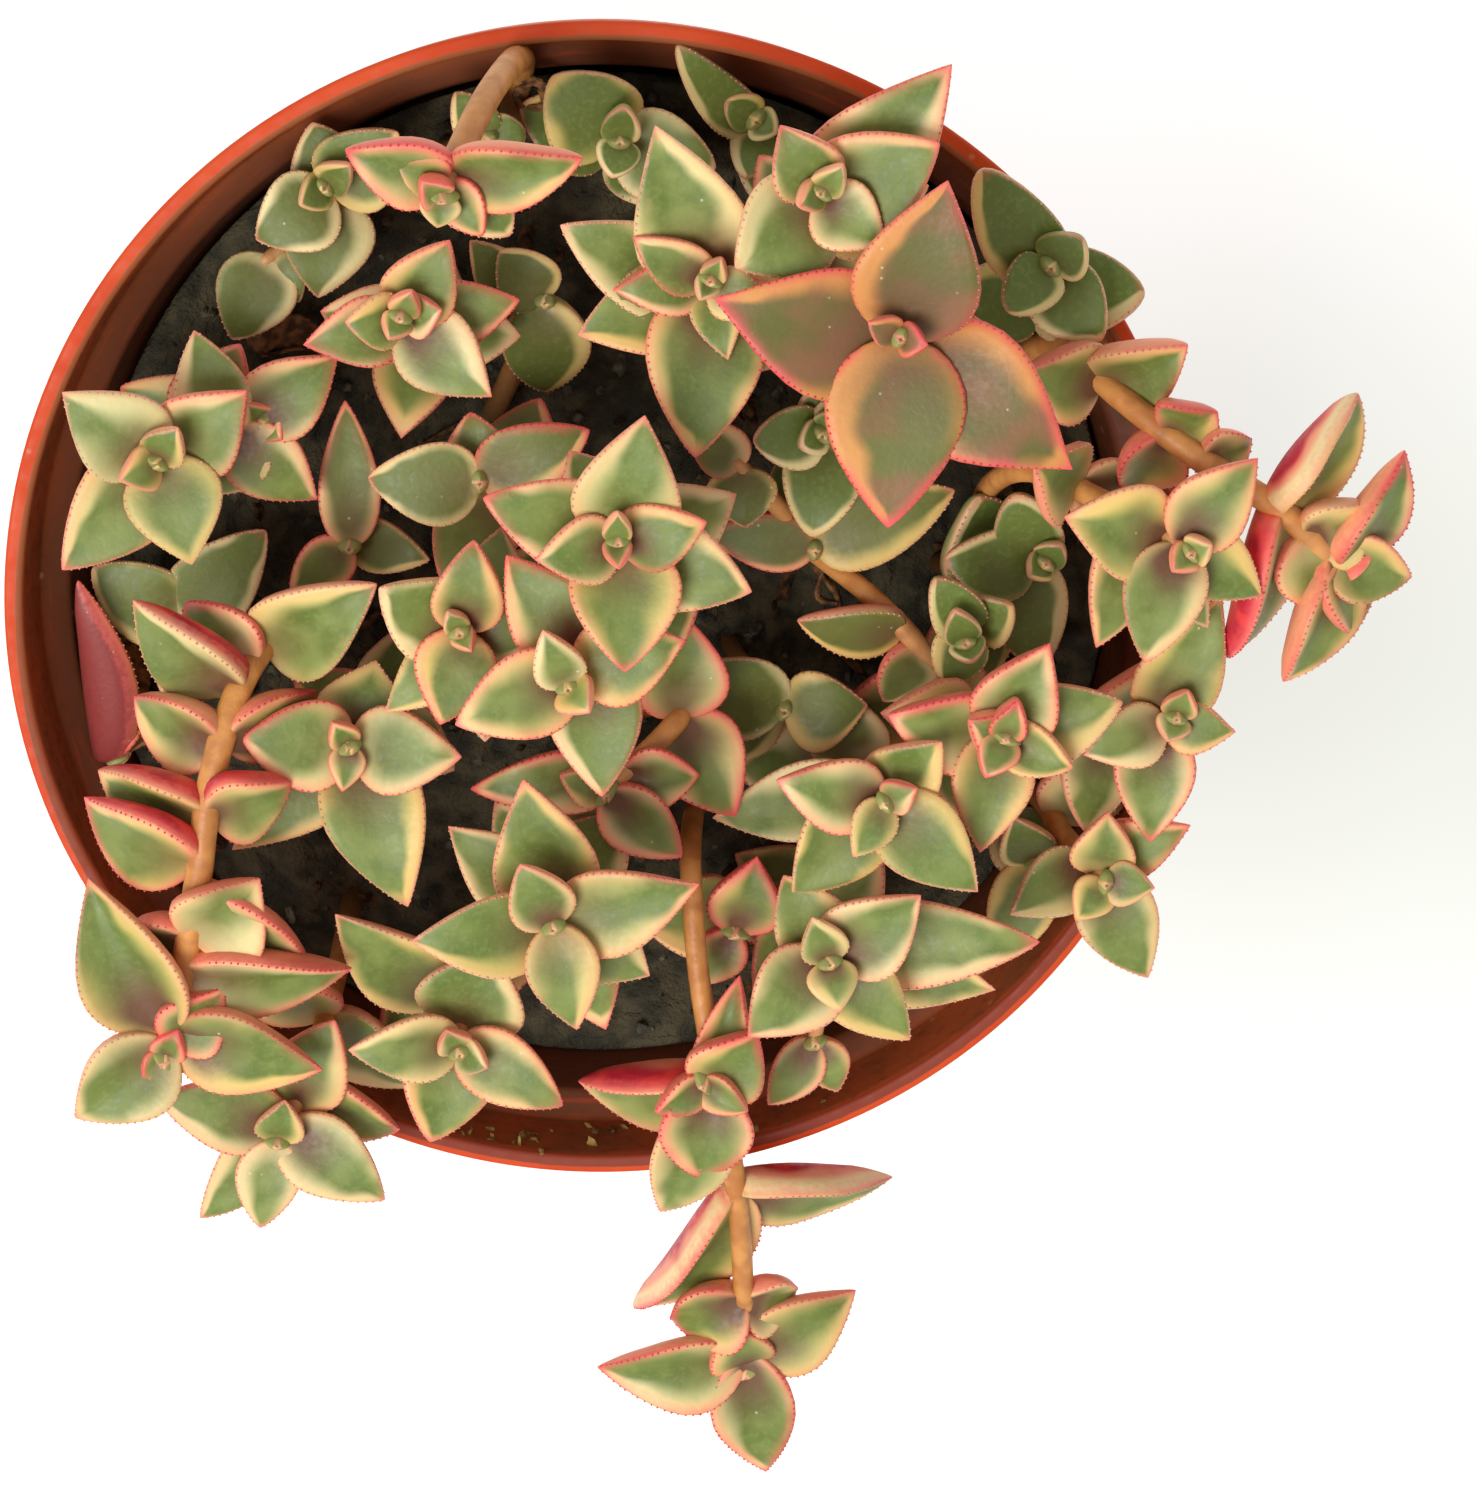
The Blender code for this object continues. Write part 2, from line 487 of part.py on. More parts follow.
def leaf_depth(length, station):
    """How deep a leaf's keel is: thinner on a small leaf, and towards both ends."""
    size = min(1.0, 0.45 + 0.55 * length / FULL_THICKNESS_LENGTH)
    return LEAF_THICKNESS * size * (0.55 + 0.45 * math.sin(math.pi * min(1.0, station + 0.15)))


def leaf_solid(leaf, grow=0.0, start=0.0):
    """Points and triangles of a leaf: a shallow keeled boat with a diamond section, pointed at both ends.

    Its inner end is sunk just past the stem's axis. With start above 0 only the outer part is made.
    """
    base, tip, normal, width = leaf["base"], leaf["tip"], leaf["normal"], leaf["width"]
    length = np.linalg.norm(tip - base)
    along = unit(tip - base)
    side = unit(np.cross(along, normal))
    face = np.cross(side, along)
    stations = SMALL_LEAF_STATIONS if length < SMALL_LEAF or leaf["plain"] else LEAF_STATIONS
    points = [base + along * (start * length - ROOT_SUNK)]
    for station in stations:
        station = start + (1.0 - start) * station
        half = 0.5 * width * half_width(station) + grow
        middle = base + along * (length * station) + face * (LEAF_BOW * length * math.sin(math.pi * station))
        depth = leaf_depth(length, station)
        rise = EDGE_RISE * half
        points += [middle - side * half + face * rise, middle + face * (LEAF_DISH * depth + grow),
                   middle + side * half + face * rise, middle - face * (depth + grow)]
    points.append(tip + along * grow)
    faces = [(0, 1 + corner, 1 + (corner + 1) % 4) for corner in range(4)]
    for row in range(len(stations) - 1):
        for corner in range(4):
            near, near_next = 1 + row * 4 + corner, 1 + row * 4 + (corner + 1) % 4
            faces += [(near, near + 4, near_next + 4), (near, near_next + 4, near_next)]
    last = 1 + (len(stations) - 1) * 4
    end = len(points) - 1
    for corner in range(4):
        faces.append((last + corner, end, last + (corner + 1) % 4))
    return np.array(points), faces


def tree_of(solid):
    points, faces = solid
    return BVHTree.FromPolygons([tuple(point) for point in points], faces)


class Occupied:
    """What a new leaf is tested against: a box and a tree for each solid, and the node it belongs to."""

    def __init__(self):
        self.owners = []
        self.lows = []
        self.highs = []
        self.trees = []

    def add(self, owner, solid):
        points = solid[0]
        self.owners.append(owner)
        self.lows.append(points.min(axis=0))
        self.highs.append(points.max(axis=0))
        self.trees.append(tree_of(solid))

    def hits(self, owner, solid, same_owner):
        """True where the solid meets one of another owner, or with same_owner one of its own."""
        if not self.owners:
            return False
        low, high = solid[0].min(axis=0), solid[0].max(axis=0)
        near = np.all(np.array(self.lows) <= high, axis=1) & np.all(np.array(self.highs) >= low, axis=1)
        own = np.array([other == owner for other in self.owners])
        near &= own if same_owner else ~own
        if not near.any():
            return False
        tree = tree_of(solid)
        return any(tree.overlap(self.trees[index]) for index in np.flatnonzero(near))


def first_route(stem):
    """The first shoot's stem: straight out of its hole, then through its points to the tip."""
    soil = RIM_HEIGHT - SOIL_BELOW_RIM
    x, y = stem.root[0] * MM, stem.root[1] * MM
    shoot = stem.shoots[0]
    points = [np.array([x, y, soil - HOLE_DEPTH + CLEARANCE]), np.array([x, y, soil + STRAIGHT_ABOVE_SOIL])]
    points += [spot(*place) for place in shoot.through]
    points.append(spot(*shoot.tip))
    return smooth_route(points, STEM_STEP)


def all_routes():
    """Every shoot's stem, keyed by (stem number, shoot number)."""
    routes = {}
    for number, stem in enumerate(STEMS):
        routes[number, 0] = first_route(stem)
    spread_stems(routes)
    for number, stem in enumerate(STEMS):
        for order, shoot in enumerate(stem.shoots[1:], start=1):
            start, _ = point_below_tip(routes[number, 0], shoot.forks_at * MM)
            points = [start] + [spot(*place) for place in shoot.through] + [spot(*shoot.tip)]
            routes[number, order] = smooth_route(points, STEM_STEP)
    return routes


def spread_stems(routes):
    """Bends the hidden middles of the stems apart, with roots and tips held where they are."""
    keys = list(routes)
    for _ in range(SPREAD_ROUNDS):
        moved = False
        for first, second in ((a, b) for a in keys for b in keys if a < b):
            one, two = routes[first], routes[second]
            room = (STEMS[first[0]].radius + STEMS[second[0]].radius) * MM + STEM_GAP + SPREAD_MARGIN
            apart = one[:, None, :] - two[None, :, :]
            distance = np.linalg.norm(apart, axis=2)
            for i, j in zip(*np.nonzero(distance < room)):
                level = apart[i, j] * np.array([1.0, 1.0, 0.0])
                push = unit(level) * (room - distance[i, j]) * SPREAD_SHARE
                if 1 < i < len(one) - 2:
                    one[i] += push
                    moved = True
                if 1 < j < len(two) - 2:
                    two[j] -= push
                    moved = True
        if not moved:
            break


def turned(vector, axis, angle):
    """The vector turned about the axis by the angle."""
    axis = unit(axis)
    return (vector * math.cos(angle) + np.cross(axis, vector) * math.sin(angle)
            + axis * np.dot(axis, vector) * (1.0 - math.cos(angle)))


def leaf_tries():
    """Small changes of rise, swing and length, the slightest first."""
    tries = []
    for rise in RISES:
        for swing in SWINGS:
            for scale in SCALES:
                cost = RISE_COST * abs(rise) + abs(swing) + SHORTENING_COST * (1.0 - scale)
                tries.append((cost, rise, swing, scale))
    return [row[1:] for row in sorted(tries)]


def planned_leaves(routes):
    """Every leaf as the table gives it, before any is moved clear."""
    leaves = []
    for number, stem in enumerate(STEMS):
        for order, shoot in enumerate(stem.shoots):
            route = routes[number, order]
            faces = unit(np.array(shoot.faces, dtype=float))
            for rank, row in enumerate(shoot.leaves):
                leaf = Leaf(*row)
                base, run = point_below_tip(route, leaf.below * MM)
                tip = spot(leaf.across, leaf.down, shoot.tip[2] + leaf.lift)
                toward = unit(tip - base)
                upward = faces if leaf.below < LEANS_FROM else unit(LEAN * run + np.array(UP))
                normal = turned(unit(upward - np.dot(upward, toward) * toward), toward, math.radians(leaf.roll))
                leaves.append({"owner": number, "order": order, "rank": rank, "base": base, "tip": tip,
                               "normal": normal, "width": leaf.width * MM, "plain": False})
    return leaves


def lower_leaves(routes):
    """Pairs of older leaves down each first shoot's stem, each pair a quarter turn from the last."""
    rng = np.random.default_rng(LOWER_LEAF_SEED)
    leaves = []
    for number, stem in enumerate(STEMS):
        listed = stem.shoots[0].leaves
        turn = rng.uniform(0.0, math.pi)
        for pair in range(stem.lower_pairs):
            below = (max(row[0] for row in listed) + LOWER_LEAF_SPACING * (pair + 1)) * MM
            base, run = point_below_tip(routes[number, 0], below)
            first, second = ring_frame(run)
            for member in range(2):
                angle = turn + math.pi * (0.5 * pair + member) + rng.uniform(-1.0, 1.0) * LOWER_LEAF_WOBBLE
                reach = rng.uniform(*LOWER_LEAF_REACH) * MM
                out = unit(first * math.cos(angle) + second * math.sin(angle) + LOWER_LEAF_LIFT * run)
                normal = unit(run - np.dot(run, out) * out)
                if base[2] > RIM_HEIGHT - SOIL_BELOW_RIM + LOWER_LEAF_FLOOR:
                    leaves.append({"owner": number, "order": 0, "rank": len(listed) + 2 * pair + member,
                                   "base": base, "tip": base + out * reach, "normal": normal,
                                   "width": reach * LOWER_LEAF_BREADTH, "plain": True})
    return leaves


def changed_leaf(leaf, rise, swing, scale):
    """The leaf turned about its base by these degrees and made this much of its size."""
    run = leaf["tip"] - leaf["base"]
    side = np.cross(unit(run), leaf["normal"])
    moved = turned(run * scale, side, math.radians(rise))
    moved = turned(moved, leaf["normal"], math.radians(swing))
    along = unit(moved)
    return dict(leaf, tip=leaf["base"] + moved, width=leaf["width"] * (0.5 + 0.5 * scale),
                normal=unit(leaf["normal"] - np.dot(leaf["normal"], along) * along))


def settled_leaves(routes, fixed):
    """The leaves, highest first, each turned or shortened as little as it takes to miss the others.

    A leaf has to miss everything of another stem, and if it can, the outer halves of its own stem's
    leaves. The few that can't miss another stem are left out.
    """
    taken, outer_halves = Occupied(), Occupied()
    for name, solid in fixed.items():
        taken.add(name, solid)
    for (number, _), route in routes.items():
        taken.add(number, tube(route, STEMS[number].radius * MM + CLEARANCE, STEM_SIDES))
    tries = leaf_tries()
    kept = []
    planned = sorted(planned_leaves(routes), key=lambda one: -one["tip"][2])
    for leaf in planned + lower_leaves(routes):
        owner = leaf["owner"]
        choice = None
        for rise, swing, scale in tries:
            trial = changed_leaf(leaf, rise, swing, scale)
            if taken.hits(owner, leaf_solid(trial, LEAF_ROOM), False):
                continue
            if not outer_halves.hits(owner, leaf_solid(trial, 0.0, 0.5), True):
                choice = trial
                break
            choice = choice or trial
        if choice is not None:
            taken.add(owner, leaf_solid(choice, LEAF_ROOM))
            outer_halves.add(owner, leaf_solid(choice, 0.0, 0.5))
            kept.append(choice)
    return sorted(kept, key=lambda one: (one["owner"], one["order"], one["rank"]))


def material(name, colour, roughness):
    made = bpy.data.materials.new(name)
    made.use_nodes = True
    shader = made.node_tree.nodes["Principled BSDF"]
    shader.inputs["Base Color"].default_value = (*colour, 1.0)
    shader.inputs["Roughness"].default_value = roughness
    shader.inputs["Metallic"].default_value = 0.0
    made.diffuse_color = (*colour, 1.0)
    return made


def add_object(name, points, faces, finish=None):
    mesh = bpy.data.meshes.new(name)
    mesh.from_pydata([tuple(point) for point in points], [], faces)
    mesh.validate()
    mesh.update()
    made = bpy.data.objects.new(name, mesh)
    bpy.context.scene.collection.objects.link(made)
    if finish:
        mesh.materials.append(finish)
    return made


def apply_modifiers(made):
    """Puts the evaluated mesh in place of the object's own and clears its modifiers."""
    shaped = bpy.data.meshes.new_from_object(made.evaluated_get(bpy.context.evaluated_depsgraph_get()))
    made.modifiers.clear()
    made.data = shaped


def keep_outer_shell(made):
    """Fills the hollows that fusing seals: only the widest of the object's separate shells stays."""
    shape = bmesh.new()
    shape.from_mesh(made.data)
    waiting = set(shape.verts)
    shells = []
    while waiting:
        shell = {waiting.pop()}
        edge = list(shell)
        while edge:
            near = {link.other_vert(vert) for vert in edge for link in vert.link_edges} - shell
            shell |= near
            edge = list(near)
        waiting -= shell
        shells.append(shell)

    def width(shell):
        places = np.array([tuple(vert.co) for vert in shell])
        return np.linalg.norm(places.max(axis=0) - places.min(axis=0))

    shells.sort(key=width)
    for shell in shells[:-1]:
        bmesh.ops.delete(shape, geom=list(shell), context="VERTS")
    shape.to_mesh(made.data)
    shape.free()


def join_all(made, others):
    """One Boolean union of the object with all the others, which are then removed."""
    group = bpy.data.collections.new(made.name + "_repeats")
    bpy.context.scene.collection.children.link(group)
    for other in others:
        bpy.context.scene.collection.objects.unlink(other)
        group.objects.link(other)
    union = made.modifiers.new("Union", "BOOLEAN")
    union.operation = "UNION"
    union.operand_type = "COLLECTION"
    union.collection = group
    union.solver = "EXACT"
    bpy.context.view_layer.update()
    apply_modifiers(made)
    for other in others:
        bpy.data.objects.remove(other)
    bpy.data.collections.remove(group)
    keep_outer_shell(made)


def turned_solid(name, profile, sides, finish):
    """A closed solid of revolution about Z from (radius, height) points that run down its outer side.

    A point on the axis closes a face with a fan; two of them in a row leave the axis itself bare.
    """
    points, faces, rows = [], [], []
    for radius, height in profile:
        rows.append(np.arange(len(points), len(points) + (sides if radius > 0.0 else 1)))
        for step in range(len(rows[-1])):
            angle = 2.0 * math.pi * step / sides
            points.append((radius * math.cos(angle), radius * math.sin(angle), height))
    for upper, lower in zip(rows, rows[1:] + rows[:1]):
        if len(upper) == 1 and len(lower) == 1:
            continue
        for step in range(sides):
            after = (step + 1) % sides
            if len(upper) == 1:
                faces.append((upper[0], lower[step], lower[after]))
            elif len(lower) == 1:
                faces.append((upper[step], lower[0], upper[after]))
            else:
                faces.append((upper[step], lower[step], lower[after], upper[after]))
    return add_object(name, points, [tuple(int(corner) for corner in face) for face in faces], finish)


def wall_radius(height):
    """The pot's outer radius at this height below the rim band: a straight taper."""
    return BASE_RADIUS + (RIM_RADIUS - BAND_STEP - BASE_RADIUS) * height / (RIM_HEIGHT - BAND_DEPTH)


def pot_profile():
    """Outer side from the lip down to the base, then the floor and the stepped inner side back up."""
    band = RIM_HEIGHT - BAND_DEPTH
    step = RIM_HEIGHT - COLLAR_DEPTH
    collar = RIM_RADIUS - LIP_WIDTH
    return [
        (RIM_RADIUS - LIP_EDGE, RIM_HEIGHT),
        (RIM_RADIUS, RIM_HEIGHT - LIP_EDGE),
        (RIM_RADIUS - BAND_DRAFT, band),
        (wall_radius(band - LIP_EDGE), band - LIP_EDGE),
        (BASE_RADIUS, 0.0),
        (0.0, 0.0),
        (0.0, FLOOR_THICKNESS),
        (wall_radius(FLOOR_THICKNESS) - WALL, FLOOR_THICKNESS),
        (wall_radius(step - COLLAR_STEP) - WALL, step - COLLAR_STEP),
        (collar - COLLAR_DRAFT, step),
        (collar, RIM_HEIGHT),
    ]


def make_pot(finish):
    """The pot: a turned shell whose floor has a ring of drain holes round a solid middle."""
    pot = turned_solid("pot", pot_profile(), POT_SIDES, finish)
    cutters = []
    for number in range(DRAIN_COUNT):
        angle = 2.0 * math.pi * number / DRAIN_COUNT
        x, y = DRAIN_CIRCLE * math.cos(angle), DRAIN_CIRCLE * math.sin(angle)
        route = np.array([[x, y, -FLOOR_THICKNESS], [x, y, 2.0 * FLOOR_THICKNESS]])
        cutters.append(add_object("drain", *tube(route, DRAIN_RADIUS, DRAIN_SIDES)))
    cut(pot, cutters)
    return pot


def cut(made, cutters):
    """Takes the cutters out of the object with one Boolean difference, then removes them."""
    group = bpy.data.collections.new(made.name + "_cutters")
    bpy.context.scene.collection.children.link(group)
    for cutter in cutters:
        bpy.context.scene.collection.objects.unlink(cutter)
        group.objects.link(cutter)
    difference = made.modifiers.new("Holes", "BOOLEAN")
    difference.operation = "DIFFERENCE"
    difference.operand_type = "COLLECTION"
    difference.collection = group
    difference.solver = "EXACT"
    bpy.context.view_layer.update()
    apply_modifiers(made)
    for cutter in cutters:
        bpy.data.objects.remove(cutter)
    bpy.data.collections.remove(group)


def soil_profile():
    """The soil fills the pot to below the rim, a clearance inside the wall and the floor."""
    top = RIM_HEIGHT - SOIL_BELOW_RIM
    floor = FLOOR_THICKNESS + CLEARANCE
    inside = WALL + 2.0 * CLEARANCE
    return [
        (0.0, top),
        (wall_radius(top) - inside, top),
        (wall_radius(floor) - inside, floor),
        (0.0, floor),
    ]


def make_soil(finish):
    soil = turned_solid("soil", soil_profile(), SOIL_SIDES, finish)
    top = RIM_HEIGHT - SOIL_BELOW_RIM
    cutters = []
    for stem in STEMS:
        x, y = stem.root[0] * MM, stem.root[1] * MM
        route = np.array([[x, y, top - HOLE_DEPTH], [x, y, top + HOLE_DEPTH]])
        cutters.append(add_object("hole", *tube(route, stem.radius * MM + HOLE_ROOM, HOLE_SIDES)))
    cut(soil, cutters)
    return soil


def make_stem(number, stem, routes, leaves):
    """One leafy stem: its tubes, leaves and buds in one closed body."""
    finish = material(stem.name, TONES[stem.tone], LEAF_ROUGHNESS)
    radius = stem.radius * MM
    made = add_object(stem.name, *tube(routes[number, 0], radius, STEM_SIDES), finish)
    others = []
    for order in range(1, len(stem.shoots)):
        others.append(add_object("branch", *tube(routes[number, order], radius * BRANCH_SHARE, STEM_SIDES)))
    for leaf in leaves:
        others.append(add_object("leaf", *leaf_solid(leaf)))
    join_all(made, others)
    return made


def solid_of(made):
    """An object's points and faces, to test leaves against."""
    points = np.array([tuple(vertex.co) for vertex in made.data.vertices])
    return points, [tuple(polygon.vertices) for polygon in made.data.polygons]


def main():
    for existing in list(bpy.data.objects):
        bpy.data.objects.remove(existing)
    pot = make_pot(material("pot", POT_COLOUR, POT_ROUGHNESS))
    soil = make_soil(material("soil", SOIL_COLOUR, SOIL_ROUGHNESS))
    routes = all_routes()
    leaves = settled_leaves(routes, {"pot": solid_of(pot), "soil": solid_of(soil)})
    for number, stem in enumerate(STEMS):
        make_stem(number, stem, routes, [leaf for leaf in leaves if leaf["owner"] == number])


main()
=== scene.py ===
"""The looks of a potted trailing crassula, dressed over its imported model.

Metres, +Z up, with the origin at the centre of the pot's flat base. The leaves and stems come from the same
table of places, and by the same rules, as the model's solids, so each stands where its solid is. Heights
in the table are in millimetres above the pot's rim. Its places are read in the named view below, which is
also the camera's.
"""
import functools
import math
from collections import namedtuple

import bpy
import numpy as np
from bpy.props import FloatProperty, FloatVectorProperty, IntProperty, PointerProperty
from mathutils import Matrix
from mathutils.bvhtree import BVHTree


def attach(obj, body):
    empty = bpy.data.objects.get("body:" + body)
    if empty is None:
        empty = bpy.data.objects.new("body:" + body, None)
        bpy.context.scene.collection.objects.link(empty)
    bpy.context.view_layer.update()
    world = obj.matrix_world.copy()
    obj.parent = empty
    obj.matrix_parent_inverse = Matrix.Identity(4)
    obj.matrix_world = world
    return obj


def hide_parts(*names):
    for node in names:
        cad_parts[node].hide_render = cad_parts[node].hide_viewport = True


bl_info = {
    "name": "Potted crassula looks",
    "version": (1, 0, 0),
    "blender": (4, 5, 0),
    "location": "3D View > Sidebar > Crassula",
    "description": "Builds the finished pot, soil, stems and leaves around the packed model",
    "category": "Object",
}

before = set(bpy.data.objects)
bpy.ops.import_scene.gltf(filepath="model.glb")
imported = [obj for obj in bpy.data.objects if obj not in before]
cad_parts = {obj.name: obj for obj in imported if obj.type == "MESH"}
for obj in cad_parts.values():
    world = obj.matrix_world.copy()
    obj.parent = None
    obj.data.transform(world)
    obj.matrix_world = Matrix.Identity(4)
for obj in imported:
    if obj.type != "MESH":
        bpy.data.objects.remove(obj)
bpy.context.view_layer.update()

MM = 0.001
CLEARANCE = 0.3 * MM

# Pot
RIM_RADIUS = 55.0 * MM
RIM_HEIGHT = 80.0 * MM
LIP_WIDTH = 1.8 * MM
BAND_DEPTH = 8.6 * MM
BAND_DRAFT = 1.4 * MM
BAND_STEP = 4.4 * MM
COLLAR_DEPTH = 7.0 * MM
COLLAR_STEP = 1.2 * MM
COLLAR_DRAFT = 1.0 * MM
LIP_EDGE = 0.5 * MM
WALL = 1.2 * MM
FLOOR_THICKNESS = 1.6 * MM
BASE_RADIUS = 36.5 * MM
DRAIN_COUNT = 6
DRAIN_RADIUS = 3.2 * MM
DRAIN_CIRCLE = 24.0 * MM

# Soil
SOIL_BELOW_RIM = 14.5 * MM
HOLE_DEPTH = 7.0 * MM

# Stems and leaves
BRANCH_SHARE = 0.93
STEM_SIDES = 5
STEM_STEP = 10.0 * MM
CURVE_SAMPLES = 24
STRAIGHT_ABOVE_SOIL = 1.5 * MM
DIRECTION_SPAN = 2.0 * MM
LEAF_THICKNESS = 1.3 * MM
FULL_THICKNESS_LENGTH = 9.0 * MM
LEAF_STATIONS = (0.28, 0.64)
SMALL_LEAF_STATIONS = (0.4,)
SMALL_LEAF = 5.5 * MM
ROOT_SUNK = 0.4 * MM
LEAF_WIDEST = 0.76
LEAF_ROUNDNESS = 0.74
LEAF_BASE_WIDTH = 0.36
LEAF_BOW = 0.05
LEAF_DISH = 0.12
EDGE_RISE = 0.16
LEANS_FROM = 5.0
LEAN = 0.5

# How the hidden stems are spread apart
STEM_GAP = 0.7 * MM
SPREAD_MARGIN = 2.0 * MM
SPREAD_ROUNDS = 80
SPREAD_SHARE = 0.25

# How a leaf may be turned (degrees) or shortened to miss the others, and what a change costs
LEAF_ROOM = 0.18 * MM
RISES = (0, 5, -5, 10, -10, 16, -16, 24, -24, 32, -32)
SWINGS = (0, 7, -7, 14, -14, 22, -22, 32, -32)
SCALES = (1.0, 0.92, 0.84, 0.74, 0.62)
RISE_COST = 0.55
SHORTENING_COST = 70.0

# The older leaves down each stem
LOWER_LEAF_SEED = 7
LOWER_LEAF_SPACING = 8.0
LOWER_LEAF_REACH = (8.5, 11.0)
LOWER_LEAF_BREADTH = 0.8
LOWER_LEAF_LIFT = 0.25
LOWER_LEAF_WOBBLE = 0.25
LOWER_LEAF_FLOOR = 2.5 * MM

# The view that the table's places are read in: 1477 by 1497 picture units, 600 mm from the rim's plane
VIEW_MIDDLE = (738.5, 748.5)
VIEW_TILT = math.radians(16.70)
VIEW_TURN = math.radians(-4.20)
VIEW_AIM = (12.52 * MM, -13.16 * MM)
VIEW_DISTANCE = 600.0 * MM
VIEW_UNITS_PER_METRE = 10797.0

# A leafy stem: its node's name, where it is rooted in the soil (mm, from the pot's axis), its radius (mm),
# its tone, how many pairs of older leaves grow below the ones listed, and its shoots.
# A shoot: where it leaves the stem before it (None for the first one), the points its stem goes through,
# its tip, all as (across, down, mm above rim) in the view, the way the tip faces, and its leaves.
# A leaf: mm of stem between it and the tip, where its point lies in the view (across, down), how many mm
# higher than the tip that point is, its width in mm, and the degrees it is rolled about its own length.
Stem = namedtuple("Stem", "name root radius tone lower_pairs shoots")
Shoot = namedtuple("Shoot", "forks_at through tip faces leaves")
Leaf = namedtuple("Leaf", "below across down lift width roll", defaults=(0.0,))
UP = (0.0, 0.0, 1.0)

